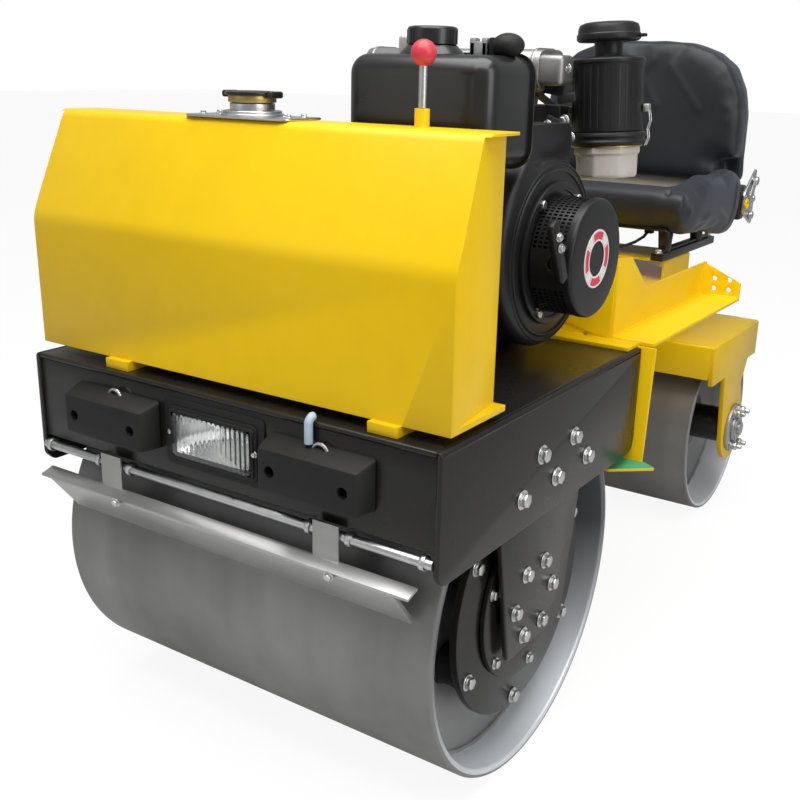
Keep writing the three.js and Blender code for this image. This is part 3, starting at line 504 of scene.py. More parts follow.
disc_out, disc_in = 0.336, 0.324
for side, hand in ((1, "left"), (-1, "right")):
    disc = round_bar("drive_disc_" + hand, 0.19, disc_out - disc_in,
                     (side * (disc_out + disc_in) / 2, axle_y, axle_z), crosswise, vertices=96)
    editing(True)
    shaped(lambda middle, way: way.x * side > 0.9)
    bpy.ops.mesh.inset(thickness=0.128)
    drawn_out((side * 0.0165, 0, 0))
    editing(False)
    rounded(disc, 0.0015, 2, corner=50)
    fitted(disc, "front_roller", "black_paint", black_paint, *(["front_axle"] if side > 0 else []))

    ring = [(math.radians(26 + 60 * n), 0.174) for n in range(6)]
    buffers = []
    for turn, radius in ring:
        seat = Vector((side * 0.3062, axle_y + (radius - 0.018) * math.cos(turn),
                       axle_z + (radius - 0.018) * math.sin(turn)))
        buffer = round_bar("buffer", 0.033, 0.035, seat, crosswise)
        editing(True)
        shaped(lambda middle, way: abs(way.x) < 0.5)
        bpy.ops.mesh.subdivide(number_cuts=3)
        shaped(lambda middle, way: abs(middle.x - seat.x) < 0.006 and abs(way.x) < 0.5)
        bpy.ops.transform.resize(value=(1, 0.88, 0.88), center_override=seat)
        editing(False)
        rounded(buffer, 0.002, 2, corner=50)
        buffers.append(buffer)
    fitted(joined("buffers_" + hand, buffers), "front_roller", "rubber", rubber)
    places = [
        (side * disc_out, axle_y + radius * math.cos(turn), axle_z + radius * math.sin(turn)) for turn,
        radius in ring
    ]
    bolted("disc_bolts_" + hand, "front_roller", hex_bolt(0.016, 0.007), places, (side, 0, 0))


# ---------------------------------------------------------------- front frame
# Laser-cut side plates, a deck and two cross panels, welded and sprayed gloss black. The deck is folded over
# into the side plates, so its long edges are round. Five bolts a side hold the drum's hangers from inside.

def edge_rounded(piece, radius, segments, test):
    """Rounds the edges that pass the test."""
    chosen(piece)
    editing(True)
    shaped(test, "EDGE")
    bpy.ops.mesh.bevel(offset=radius, segments=segments, profile=0.5, affect="EDGES", clamp_overlap=False)
    editing(False)


plate_out, plate_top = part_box("side_plate_left")[1].x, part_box("side_plate_left")[1].z
for hand in ("left", "right"):
    plate = welded("frame_side_" + hand, "side_plate_" + hand)
    edge_rounded(plate, 0.0075, 5, lambda middle, way: abs(middle.x) > plate_out - 0.0003
                 and middle.z > plate_top - 0.0003 and abs(way.y) > 0.9)
    rounded(plate, 0.0016, 2, clamp=False)
    fitted(plate, "chassis", "black_paint", black_paint, "side_plate_" + hand)

for node, name in (("deck", "deck_plate"), ("rear_panel", "rear_cross_panel")):
    edged(name, node, "chassis", "black_paint", black_paint, 0.003 if node == "deck" else 0.0015, 3)

# The front panel has an opening for the headlight's bowl.
lamp_half, lamp_low, lamp_high = 0.071, 0.503, 0.561
panel = welded("front_cross_panel", "front_panel")
editing(True)
for place, way in (
    ((-lamp_half, 0, 0), (1, 0, 0)), ((lamp_half, 0, 0), (1, 0, 0)),
    ((0, 0, lamp_low), (0, 0, 1)), ((0, 0, lamp_high), (0, 0, 1)),
):
    bpy.ops.mesh.select_all(action="SELECT")
    bpy.ops.mesh.bisect(plane_co=place, plane_no=way)
shaped(lambda middle, way: abs(middle.x) < lamp_half and lamp_low < middle.z < lamp_high and abs(way.y) > 0.9)
bpy.ops.mesh.bridge_edge_loops()
editing(False)
rounded(panel, 0.0012, 2)
fitted(panel, "chassis", "black_paint", black_paint, "front_panel")

for side, hand in ((1, "left"), (-1, "right")):
    edged("drum_hanger_" + hand, "hanger_" + hand, "chassis", "black_paint", black_paint, 0.0014, 2,
          clamp=False)

    housing = round_bar("bearing_housing_" + hand, 0.131, 0.0076, (side * 0.3421, axle_y, axle_z),
                        crosswise, vertices=72)
    editing(True)
    shaped(lambda middle, way: abs(way.x) > 0.9)
    bpy.ops.mesh.inset(thickness=0.066)
    bpy.ops.mesh.bridge_edge_loops()
    editing(False)
    rounded(housing, 0.0012, 2, corner=50)
    fitted(housing, "chassis", "black_paint", black_paint)
    housing_bolts = [
        (side * 0.3459, axle_y + 0.119 * math.cos(turn), axle_z + 0.119 * math.sin(turn))
        for turn in (math.radians(60 * n - 82) for n in range(6))
    ]
    bolted("housing_bolts_" + hand, "chassis", hex_bolt(0.012, 0.0048, 0.0018), housing_bolts, (side, 0, 0))

    low_bolts = [
        (side * 0.3625, axle_y - 0.013 + 0.0585 * math.cos(turn), 0.284 + 0.057 * math.sin(turn))
        for turn in (math.radians(60 * n) for n in range(6))
    ]
    high_bolts = [(side * plate_out, axle_y + y, z) for y, z in (
        (-0.088, 0.469), (-0.034, 0.519), (0.017, 0.470), (0.071, 0.517), (0.122, 0.471))]
    bolted("hanger_bolts_" + hand, "chassis", hex_bolt(0.0165, 0.007, 0.002), low_bolts, (side, 0, 0))
    bolted("frame_bolts_" + hand, "chassis", hex_bolt(0.0185, 0.0078, 0.0022), high_bolts, (side, 0, 0))


# ---------------------------------------------------------------- bumper blocks
# Two moulded rubber blocks with sloping tops. Each is held by two bolts that sit deep in its holes, and a
# plated eye bolt stands in its top.

def cuboid(name, location, scale, rotation=(0, 0, 0)):
    """A block with square edges."""
    bpy.ops.mesh.primitive_cube_add(size=1, location=location, rotation=rotation, scale=scale)
    return placed(name)


for side, hand in ((1, "left"), (-1, "right")):
    node = "bumper_block_" + hand
    low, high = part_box(node)
    block = cuboid("bumper_" + hand, (low + high) / 2, high - low)
    editing(True)
    shaped(lambda middle, way: way.y < -0.9)
    bpy.ops.transform.resize(value=(1 - 0.014 / (high.x - low.x), 1, 1), center_override=(low + high) / 2)
    shaped(lambda middle, way: abs(way.x) > 0.9 and middle.y < low.y + 0.001 and middle.z > high.z - 0.001,
           "EDGE")
    bpy.ops.transform.translate(value=(0, 0, -0.011))
    shaped(lambda middle, way: middle.y < high.y - 0.001 or abs(way.x) < 0.9, "EDGE")
    bpy.ops.mesh.bevel(offset=0.0052, segments=2, affect="EDGES", clamp_overlap=False)
    editing(False)
    mid_z = (low.z + high.z - 0.011) / 2
    drills = []
    for x in (0.13, 0.248):
        drills.append(round_bar("drill", 0.008, 0.06, (side * x, low.y + 0.025, mid_z), lengthwise))
    drill = joined("drill", drills)
    modified(block, "BOOLEAN", object=drill, operation="DIFFERENCE", solver="EXACT")
    bpy.data.objects.remove(drill)
    rounded(block, 0, smooth=32)
    fitted(block, "chassis", "rubber", rubber, node)
    bolted("bumper_bolts_" + hand, "chassis", hex_bolt(0.0095, 0.005, 0.002),
           [(side * 0.13, high.y - 0.002, mid_z), (side * 0.248, high.y - 0.002, mid_z)], (0, -1, 0))
    eye = hoop("bumper_eye_" + hand, 0.0118, 0.0024, (side * 0.19 + 0.003, low.y + 0.027, 0.563),
               lengthwise, 36, 10)
    rounded(eye, 0)
    fitted(eye, "chassis", "zinc", zinc_plate)


# ---------------------------------------------------------------- headlight
# A black moulded surround screwed to the front panel. Behind its ribbed glass lies a vacuum-plated bowl with
# a halogen bulb in its middle.

def ribbed_glass(place):
    across = place.node("TexWave", {"wave_type": "BANDS", "bands_direction": "X"},
                        {"Vector": place, "Scale": 36})
    return {"Normal": bump(across, 0.25, 0.0015)}


lamp_glass = finish("headlight_glass", {
    "Base Color": (0.93, 0.95, 0.95, 1), "Roughness": 0.03, "Transmission Weight": 1.0, "IOR": 1.45,
}, ribbed_glass)
lamp_silver = finish("bowl_silver", {"Metallic": 1.0}, lambda place: {
    "Base Color": tint(noise(place, 30, 2), (0.72, 0.71, 0.7), (0.9, 0.9, 0.89)),
    "Roughness": 0.1 + 0.15 * noise(place, 90, 2),
    "Normal": bump(place.node("TexWave", {"bands_direction": "X"},
    {"Vector": place, "Scale": 60, "Distortion": 1.5}),
                   0.35, 0.001),
})

low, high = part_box("headlight_housing")
surround = cuboid("headlight_surround", (low + high) / 2, high - low)
edge_rounded(surround, 0.009, 5, lambda middle, way: abs(way.y) > 0.9)
editing(True)
shaped(lambda middle, way: way.y < -0.9)
bpy.ops.mesh.inset(thickness=0.0042)
drawn_out((0, -0.0035, 0))
bpy.ops.mesh.inset(thickness=0.0032)
shaped(lambda middle, way: abs(way.y) > 0.9 and abs(middle.x) < 0.02 and abs(middle.z - 0.532) < 0.02)
bpy.ops.mesh.inset(thickness=0.0006)
bpy.ops.mesh.bridge_edge_loops()
editing(False)
rounded(surround, 0.0011, 2)
fitted(surround, "chassis", "black_paint", rubber, "headlight_housing")

hood = cuboid("headlight_hood", (0.001, high.y - 0.0005, 0.5335), (0.186, 0.0035, 0.100))
editing(True)
shaped(lambda middle, way: abs(way.y) > 0.9)
bpy.ops.mesh.inset(thickness=0.0215)
bpy.ops.mesh.bridge_edge_loops()
editing(False)
edge_rounded(hood, 0.008, 4, lambda middle, way: abs(way.y) > 0.9 and abs(middle.x - 0.001) > 0.09)
rounded(hood, 0.0008, 2)
fitted(hood, "chassis", "rubber", rubber)

bpy.ops.mesh.primitive_grid_add(
    x_subdivisions=36, y_subdivisions=20, size=1, location=(0, high.y + 0.006, 0.532),
    rotation=(math.pi / 2, 0, 0))
bpy.context.object.scale = (2 * 0.0705, 0.0578, 1)
bowl = placed("headlight_bowl")
for corner in bowl.data.vertices:
    x, z = corner.co.x / 0.0705, (corner.co.z - 0.532) / 0.0289
    corner.co.y += 0.034 * (1 - min(1, abs(x)) ** 3.2) * (1 - min(1, abs(z)) ** 2.6)
modified(bowl, "SOLIDIFY", thickness=0.0012, offset=1)
rounded(bowl, 0, smooth=60)
fitted(bowl, "chassis", "zinc", lamp_silver)

bpy.ops.mesh.primitive_uv_sphere_add(segments=24, ring_count=12, radius=0.0075,
                                     location=(0, high.y + 0.026, 0.532))
bulb = placed("headlight_bulb")
editing(True)
shaped(lambda middle, way: middle.y > high.y + 0.026)
drawn_out((0, 0.006, 0))
editing(False)
rounded(bulb, 0)
fitted(bulb, "chassis", "headlight_glass", lamp_glass)

low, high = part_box("headlight_lens")
lens = cuboid("headlight_lens_pane", (low + high) / 2, (high.x - low.x, high.y - low.y, high.z - low.z))
edge_rounded(lens, 0.008, 6, lambda middle, way: abs(way.y) > 0.9)
editing(True)
shaped(lambda middle, way: way.y < -0.9)
bpy.ops.mesh.inset(thickness=0.004)
bpy.ops.transform.translate(value=(0, -0.0014, 0))
editing(False)
rounded(lens, 0.0006, 2)
fitted(lens, "chassis", "headlight_glass", lamp_glass, "headlight_lens")

bolted("headlight_screws", "chassis", hex_bolt(0.006, 0.003, 0.001),
       [(x, low.y + 0.0045, 0.533) for x in (-0.0785, 0.0785)], (0, -1, 0))


# ---------------------------------------------------------------- drain hose
# A soft milky-blue hose from under the tank. It lies on the deck and bends down over its front edge.

milky_hose = finish("milky_hose", {"Subsurface Weight": 0.2, "Subsurface Radius": (0.01, 0.01, 0.01)},
    lambda place: {
    "Base Color": tint(noise(place, 90, 3), (0.3, 0.42, 0.52), (0.52, 0.62, 0.7)),
    "Roughness": 0.3 + 0.15 * noise(place, 140, 2),
})
low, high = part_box("drain_pipe")
reach, drop, half = high.y - low.y, high.z - low.z, (high.x - low.x) / 2
bpy.ops.mesh.primitive_circle_add(
    vertices=20, radius=half - 0.0002, fill_type="NOTHING",
    location=((low.x + high.x) / 2, high.y, high.z - half), rotation=(math.pi / 2, 0, 0),
)
hose = placed("drain_hose")
bend = 0.0095
editing(True)
bpy.ops.mesh.select_all(action="SELECT")
drawn_out((0, -(reach - half - bend), 0))
bpy.ops.mesh.spin(
    steps=8, angle=math.radians(-90), center=((low.x + high.x) / 2, low.y + half + bend,
    high.z - half - bend),
    axis=(1, 0, 0),
)
drawn_out((0, 0, -(drop - half - bend)))
bpy.ops.mesh.select_all(action="SELECT")
bpy.ops.mesh.remove_doubles(threshold=0.00005)
bpy.ops.mesh.normals_make_consistent(inside=False)
editing(False)
modified(hose, "SOLIDIFY", thickness=0.0016, offset=-1)
rounded(hose, 0)
fitted(hose, "chassis", "cream_plastic", milky_hose, "drain_pipe")


# ---------------------------------------------------------------- front scraper
# A folded steel blade that strips soil off the drum. Its straps hang on a plated rod between the side plates.
# The blade is bare and rubbed bright along its fold.

def rubbed_steel(place):
    clouds = noise(place, 7, 5)
    scratches = noise(place, 60, 3, (0.08, 1, 1))
    specks = noise(place, 320, 2)
    worn = (clouds * 0.6 + scratches * 0.4).maths("SMOOTH_MAX", specks * 0.8, 0.1)
    return {
        "Base Color": tint(clouds * 0.5 + scratches * 0.5, (0.36, 0.355, 0.345), (0.62, 0.62, 0.61)),
        "Roughness": 0.24 + 0.3 * clouds,
        "Normal": bump(worn, 0.2, 0.0005),
    }


bare_steel = finish("rubbed_steel", {"Metallic": 0.85}, rubbed_steel)
edged("front_scraper_blade", "front_scraper", "chassis", "drum_steel", bare_steel, 0.0009, 2, clamp=True)

low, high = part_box("scraper_rod")
rod = round_bar("scraper_hanging_rod", (high.z - low.z) / 2, high.x - low.x, (low + high) / 2, crosswise)
editing(True)
shaped(lambda middle, way: abs(way.x) > 0.9)
bpy.ops.mesh.inset(thickness=0.001)
editing(False)
rounded(rod, 0.0008, 2)
collars = []
for x in (-0.3485, -0.236, -0.170, 0.170, 0.236, 0.3485):
    collar = round_bar("collar", 0.0105, 0.008, (x, (low.y + high.y) / 2, (low.z + high.z) / 2), crosswise,
                       vertices=28)
    rounded(collar, 0.0012, 2, corner=50)
    collars.append(collar)
fitted(joined("scraper_hanging_rod", [rod, *collars]), "chassis", "zinc", zinc_plate, "scraper_rod")
bolted("scraper_fixings", "chassis", hex_bolt(0.010, 0.004, 0.0015),
       [(x, low.y - 0.0255, 0.4105) for x in (-0.17, 0.226)], (0, -0.95, -0.3))


# ---------------------------------------------------------------- water tank
# Folded from 4 mm sheet with a blunt crease across its front, welded and powder-coated yellow. Its end plates
# are set in, so that a lip stands out above and below them. It is bolted to the deck by two feet.

def yellow_powder(place):
    clouds = noise(place, 3.5, 4)
    peel = noise(place, 150, 2)
    dust = noise(place, 24, 6)
    dark = clouds * 0.6 + dust * 0.4
    return {
        "Base Color": dark.node("ValToRGB", {"stops": [
            (0.25, (0.78, 0.49, 0.002)), (0.5, (0.83, 0.53, 0.003)), (0.8, (0.87, 0.565, 0.004))]},
            {"Fac": dark}),
        "Roughness": 0.24 + 0.14 * clouds,
        "Normal": bump(peel + 2 * clouds, 0.06, 0.0008),
    }


yellow_paint = finish("yellow_powder_coat", {"IOR": 1.33}, yellow_powder)
edged("tank_shell", "water_tank", "chassis", "yellow_paint", yellow_paint, 0.0016, 2, corner=28, clamp=True)

low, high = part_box("water_tank")
bolted("tank_foot_bolts", "chassis", hex_bolt(0.013, 0.006, 0.002),
       [(x, high.y - 0.004, 0.607) for x in (0.277, -0.197)], (0, 1, 0))


# ---------------------------------------------------------------- filler
# A plated plate with a spun ring is screwed over the tank's mouth. On its neck sits a twist cap: a passivated
# cup, dark on top, with a bent lug at each end of its grip.

yellow_zinc = finish("yellow_passivated_zinc", {"Metallic": 0.9}, lambda place: {
    "Base Color": tint(noise(place, 45, 3), (0.32, 0.2, 0.05), (0.66, 0.52, 0.2)),
    "Roughness": 0.28 + 0.2 * noise(place, 120, 3),
    "Normal": bump(noise(place, 400, 2), 0.1, 0.0003),
})
low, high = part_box("filler_neck")
cap_low, cap_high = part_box("filler_cap")
mouth = (cap_low + cap_high) / 2
plate = cuboid("filler_plate", (mouth.x, (low.y + high.y) / 2, low.z + 0.0015),
               (high.x - low.x, high.y - low.y, 0.003))
edge_rounded(plate, 0.016, 5, lambda middle, way: abs(way.z) > 0.9)
rounded(plate, 0.0008, 2)
spun = []
for radius, bottom, top, lip in (
    (0.043, low.z + 0.0028, low.z + 0.0062, 0.0016), (0.040, low.z + 0.006, low.z + 0.0100, 0.0018),
    (0.0305, low.z + 0.0098, cap_low.z - 0.001, 0.001),
):
    step = round_bar("step", radius, top - bottom, (mouth.x, mouth.y, (bottom + top) / 2), vertices=64)
    rounded(step, lip, 3, corner=50)
    spun.append(step)
fitted(joined("filler_plate", [plate, *spun]), "chassis", "zinc", zinc_plate, "filler_neck")
bolted("filler_screws", "chassis", hex_bolt(0.007, 0.003, 0.001),
    [(mouth.x + x, mouth.y + y, low.z + 0.003) for x, y in ((-0.076, -0.016), (0.076, -0.016),
    (-0.076, 0.016), (0.076, 0.016), (-0.058, 0), (0.058, 0))], (0, 0, 1))

cup = round_bar("filler_cup", 0.0325, 0.010, (mouth.x, mouth.y, cap_low.z + 0.005), vertices=64)
editing(True)
shaped(lambda middle, way: way.z < -0.9)
bpy.ops.mesh.inset(thickness=0.0022)
drawn_out((0, 0, 0.0015))
editing(False)
rounded(cup, 0.0012, 2, corner=50)
fitted(cup, "chassis", "zinc", yellow_zinc)
grip_top = round_bar("cap_grip", 0.037, 0.004, (mouth.x, mouth.y, cap_high.z - 0.0035), vertices=64)
editing(True)
shaped(lambda middle, way: way.z > 0.9)
bpy.ops.mesh.inset(thickness=0.013)
bpy.ops.transform.translate(value=(0, 0, 0.0014))
editing(False)
lugs = []
for side in (-1, 1):
    lug = cuboid("lug", (mouth.x + side * 0.0395, mouth.y, cap_high.z - 0.0045), (0.010, 0.026, 0.009))
    rounded(lug, 0.0028, 4)
    lugs.append(lug)
rounded(grip_top, 0.001, 2, corner=40)
fitted(joined("filler_cap_grip", [grip_top, *lugs]), "chassis", "black_paint", black_paint, "filler_cap")


# ---------------------------------------------------------------- hand lever
# A bright rod with a red moulded ball screwed on. It stands in a yellow socket on the tank's top.

red_ball = finish("red_moulded_ball", {"Coat Weight": 0.2, "Coat Roughness": 0.2}, lambda place: {
    "Base Color": tint(noise(place, 25, 3), (0.56, 0.028, 0.05), (0.7, 0.05, 0.075)),
    "Roughness": 0.33 + 0.15 * noise(place, 60, 2),
    "Normal": bump(noise(place, 500, 2), 0.06, 0.0003),
})
low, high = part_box("hand_lever")
lever_x, lever_y, ball = (low.x + high.x) / 2, (low.y + high.y) / 2, (high.x - low.x) / 2
bpy.ops.mesh.primitive_uv_sphere_add(segments=48, ring_count=28, radius=ball,
                                     location=(lever_x, lever_y, high.z - ball))
knob = placed("lever_ball")
editing(True)
shaped(lambda middle, way: middle.z < high.z - 1.88 * ball)
bpy.ops.transform.resize(value=(1, 1, 0.1), center_override=(lever_x, lever_y, high.z - 1.94 * ball))
editing(False)
rounded(knob, 0, smooth=50)
fitted(knob, "chassis", "red_knob", red_ball, "hand_lever")
rod = round_bar("lever_rod", 0.0053, high.z - 1.9 * ball - low.z,
                (lever_x, lever_y, (high.z - 1.9 * ball + low.z) / 2), vertices=28)
editing(True)
shaped(lambda middle, way: abs(way.z) > 0.9)
bpy.ops.mesh.inset(thickness=0.0008)
editing(False)
rounded(rod, 0.0005, 1)
fitted(rod, "chassis", "zinc", zinc_plate)


# ---------------------------------------------------------------- engine block and cylinder
# An aluminium crankcase and a finned cylinder with a pressed rocker cover, all dipped in satin black enamel.
# The starter and blower close its left side, a sheet belt guard its right side.

def satin_enamel(place):
    clouds = noise(place, 9, 4)
    grain = noise(place, 420, 3)
    dust = noise(place, 45, 5)
    return {
        "Base Color": tint(dust * 0.5 + clouds * 0.5, (0.006, 0.006, 0.0065), (0.019, 0.019, 0.02)),
        "Roughness": 0.27 + 0.22 * clouds,
        "Normal": bump(grain + clouds, 0.1, 0.0006),
    }


def cast_enamel(place):
    clouds = noise(place, 14, 4)
    grain = noise(place, 260, 4)
    return {
        "Base Color": tint(clouds, (0.008, 0.008, 0.008), (0.026, 0.025, 0.024)),
        "Roughness": 0.4 + 0.25 * clouds,
        "Normal": bump(grain, 0.35, 0.0008),
    }


enamel = finish("satin_engine_enamel", {"IOR": 1.38}, satin_enamel)
castings = finish("cast_engine_enamel", {}, cast_enamel)
bright_alloy = finish("machined_alloy", {"Metallic": 0.9}, lambda place: {
    "Base Color": tint(noise(place, 30, 4), (0.3, 0.3, 0.29), (0.55, 0.55, 0.54)),
    "Roughness": 0.32 + 0.25 * noise(place, 70, 3),
    "Normal": bump(noise(place, 300, 3), 0.2, 0.0004),
})

block = welded("crankcase", "engine_block")
low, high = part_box("engine_block")
ribs = []
for y in (0.045, 0.09, 0.192, 0.237):
    ribs.append(cuboid("rib", (low.x - 0.001, axle_y + y, 0.64), (0.006, 0.006, 0.06)))
rounded(block, 0.004, 3)
for rib in ribs:
    rounded(rib, 0.0015, 2)
fitted(joined("crankcase", [block, *ribs]), "chassis", "engine_enamel", castings, "engine_block")

head_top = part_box("cylinder_head")[1].z
head = welded("cylinder_and_head", "cylinder_head")
rounded(head, 0.0025, 2)
fins = []
for level in range(9):
    fin = cuboid("fin", (0.100, axle_y + 0.155, 0.862 + 0.0135 * level), (0.156, 0.167, 0.0032))
    edge_rounded(fin, 0.012, 3, lambda middle, way: abs(way.z) > 0.9)
    fins.append(fin)
head = joined("cylinder_and_head", [head, *fins])
fitted(head, "chassis", "cast_alloy", castings, "cylinder_head")
bolted("cover_bolts", "chassis", hex_bolt(0.010, 0.006, 0.002),
       [(x, axle_y + y, head_top) for x in (0.060, 0.1025, 0.145) for y in (0.107, 0.203)], (0, 0, 1))

# Fuel pump side of the head: a bracket with the speed lever, its spring screws and the injector pipe.
fittings = []
for x, y, z, wide, deep, tall, lean in (
    (0.208, 0.270, 1.024, 0.036, 0.004, 0.060, 8), (0.232, 0.262, 0.990, 0.030, 0.005, 0.014, -14),
    (0.222, 0.258, 0.948, 0.046, 0.005, 0.020, 20), (0.200, 0.257, 0.912, 0.034, 0.006, 0.030, -6),
):
    strap = cuboid("strap", (x, axle_y + y, z), (wide, deep, tall), (0, math.radians(lean), 0))
    rounded(strap, 0.0018, 2)
    fittings.append(strap)
fitted(joined("governor_straps", fittings), "chassis", "cast_alloy", castings)
bolted("governor_screws", "chassis", hex_bolt(0.011, 0.008, 0.002),
    [(0.205, axle_y + 0.268, 1.045), (0.226, axle_y + 0.268, 1.034), (0.205, axle_y + 0.2555, 0.948),
    (0.234, axle_y + 0.2555, 0.957), (0.215, axle_y + 0.2545, 0.914), (0.246, axle_y + 0.2545, 0.932)],
    (0, -1, 0))


# ---------------------------------------------------------------- blower and pull starter
# A pressed scroll leads the flywheel's air up to the cylinder. The starter is bolted on its face: a cup whose
# wall is punched with rows of square holes, a flat lid with a red ring, and a toggle on its cord.

scroll = welded("blower_scroll", "blower_housing")
start_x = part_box("blower_housing")[1].x
crank_y, crank_z = axle_y + 0.141, 0.769
edge_rounded(scroll, 0.011, 5, lambda middle, way: middle.x > start_x - 0.0003 and abs(way.x) < 0.1
             and math.hypot(middle.y - crank_y, middle.z - crank_z) > 0.13)
beads = []
for radius, thick in ((0.124, 0.0030), (0.1325, 0.0016)):
    beads.append(hoop("bead", radius, thick, (start_x - 0.0005, crank_y, crank_z), crosswise, 96, 8))
rounded(scroll, 0, smooth=40)
fitted(joined("blower_scroll", [scroll, *beads]), "chassis", "engine_enamel", enamel, "blower_housing")

cup_low, cup_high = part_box("recoil_starter")
ring_x, lid_x = cup_low.x, cup_high.x
flange = round_bar("starter_flange", 0.107, 0.007, (ring_x + 0.0035, crank_y, crank_z), crosswise,
                   vertices=96)
editing(True)
shaped(lambda middle, way: way.x > 0.9)
bpy.ops.mesh.inset(thickness=0.012)
drawn_out((-0.0028, 0, 0))
editing(False)
rounded(flange, 0.0012, 2, corner=50)

wall_from, wall_to, wall_rows, wall_ribs = ring_x + 0.007, lid_x - 0.014, 6, 84
wall = round_bar("starter_wall", 0.087, wall_to - wall_from, ((wall_from + wall_to) / 2, crank_y, crank_z),
                 crosswise, vertices=wall_ribs, end_fill_type="NOTHING")
editing(True)
for row in range(1, wall_rows):
    bpy.ops.mesh.select_all(action="SELECT")
    bpy.ops.mesh.bisect(plane_co=(wall_from + (wall_to - wall_from) * row / wall_rows, 0, 0),
                        plane_no=(1, 0, 0))


def in_holes(middle, way):
    turn = math.degrees(math.atan2(middle.z - crank_z, middle.y - crank_y)) % 360
    row = int((middle.x - wall_from) / (wall_to - wall_from) * wall_rows)
    return row < wall_rows and (12 < turn < 168 or 205 < turn < 245)


shaped(in_holes)
bpy.ops.mesh.inset(thickness=0.0013, use_individual=True)
bpy.ops.mesh.delete(type="FACE")
editing(False)
modified(wall, "SOLIDIFY", thickness=0.0013, offset=-1)

lid = round_bar("starter_lid", 0.0878, 0.0142, (lid_x - 0.0072, crank_y, crank_z), crosswise, vertices=96)
editing(True)
shaped(lambda middle, way: way.x > 0.9)
bpy.ops.mesh.inset(thickness=0.0435)
drawn_out((-0.0008, 0, 0))
bpy.ops.mesh.inset(thickness=0.019)
bpy.ops.transform.translate(value=(-0.0006, 0, 0))
editing(False)
edge_rounded(lid, 0.0062, 5, lambda middle, way: middle.x > lid_x - 0.0005
             and math.hypot(middle.y - crank_y, middle.z - crank_z) > 0.08)
rounded(lid, 0.0004, 1, corner=40)
rounded(wall, 0)
screen = round_bar("starter_pulley", 0.078, 0.046, (ring_x + 0.034, crank_y, crank_z), crosswise, vertices=64)
editing(True)
shaped(lambda middle, way: abs(way.x) < 0.5)
bpy.ops.mesh.inset(thickness=0.0018, use_individual=True)
bpy.ops.transform.resize(value=(1, 0.97, 0.97), center_override=(ring_x, crank_y, crank_z))
editing(False)
rounded(screen, 0)
guide = round_bar("cord_guide", 0.0135, 0.040, (0.334, crank_y - 0.084, 0.772), lengthwise, vertices=40)
editing(True)
shaped(lambda middle, way: way.y < -0.9)
bpy.ops.mesh.inset(thickness=0.005)
drawn_out((0, 0.008, 0))
editing(False)
rounded(guide, 0.0012, 2, corner=50)
fitted(joined("pull_starter", [flange, wall, lid, screen, guide]), "chassis", "engine_enamel", enamel,
       "recoil_starter")

bolted("starter_screws", "chassis", hex_bolt(0.0115, 0.006, 0.0018),
    [(ring_x + 0.0042, crank_y + 0.0975 * math.cos(math.radians(turn)),
    crank_z + 0.0975 * math.sin(math.radians(turn))) for turn in (127, -121.5, 53, -58)], (1, 0, 0))


def ring_print(place):
    """Red print on a white foil ring: white borders and four white gaps."""
    flat = place.node("VectorMath", {"operation": "SUBTRACT"}, {0: place, 1: (0, crank_y, crank_z)})
    split = flat.node("SeparateXYZ", {}, {"Vector": flat}).socket.node.outputs
    y, z = Signal(flat.tree, split["Y"]), Signal(flat.tree, split["Z"])
    away = (y * y + z * z).maths("SQRT", y * y + z * z)
    turn = y.maths("ARCTAN2", z, y)
    waves = turn.maths("COSINE", turn * 4)
    fine = turn.maths("COSINE", turn * 44)
    body = (away > 0.0288) * (away < 0.0402)
    red = body.maths("MULTIPLY", body, (waves + 0.35 * fine) > -0.35)
    shade = tint(noise(place, 80, 2), (0.62, 0.025, 0.04), (0.74, 0.06, 0.08))
    return {
        "Base Color": red.node("Mix", {"data_type": "RGBA"}, {0: red, 6: (0.83, 0.78, 0.78, 1), 7: shade},
        output=2),
        "Roughness": 0.3 + 0.1 * noise(place, 60, 2),
    }


foil = round_bar("starter_ring_foil", 0.0432, 0.0012, (lid_x - 0.0004, crank_y, crank_z), crosswise,
                 vertices=96)
editing(True)
shaped(lambda middle, way: abs(way.x) > 0.9)
bpy.ops.mesh.inset(thickness=0.0172)
bpy.ops.mesh.bridge_edge_loops()
editing(False)
rounded(foil, 0.0002, 1, corner=50)
fitted(foil, "chassis", "red_knob", finish("printed_ring_foil", {}, ring_print))

low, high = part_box("starter_grip")
centre = (low + high) / 2
toggle = cuboid("starter_toggle", centre, (0.0158, 0.0205, 0.0975), (math.radians(27), 0, 0))
editing(True)
bpy.ops.mesh.select_all(action="SELECT")
bpy.ops.mesh.bevel(offset=0.0058, segments=4, affect="EDGES", clamp_overlap=False)
editing(False)
for corner in toggle.data.vertices:
    along = (corner.co - centre).dot(Vector((0, -math.sin(math.radians(27)),
                                             math.cos(math.radians(27))))) / 0.049
    corner.co.y += 0.004 * along * along
    corner.co.x = centre.x + (corner.co.x - centre.x) * (1 - 0.22 * along * along)
loop = hoop("toggle_loop", 0.0165, 0.0042, (centre.x - 0.004, axle_y + 0.046, 0.780),
            (math.radians(90), 0, math.radians(90)), 40, 10)
rounded(loop, 0)
rounded(toggle, 0, smooth=45)
fitted(joined("starter_toggle", [toggle, loop]), "chassis", "engine_enamel", enamel, "starter_grip")
bolted("toggle_screws", "chassis", hex_bolt(0.0085, 0.003, 0.0014),
       [(high.x - 0.0005, axle_y + 0.0085, 0.816), (high.x - 0.0005, axle_y + 0.0165, 0.800)], (1, -0.2, 0))


# ---------------------------------------------------------------- fuel tank
# Two deep-drawn halves, crimped together in an upright seam behind the middle, in gloss black. A screw cap
# stands on a drawn collar. A lifting eye, a rubber stop and clamp blocks rise from the engine behind it.

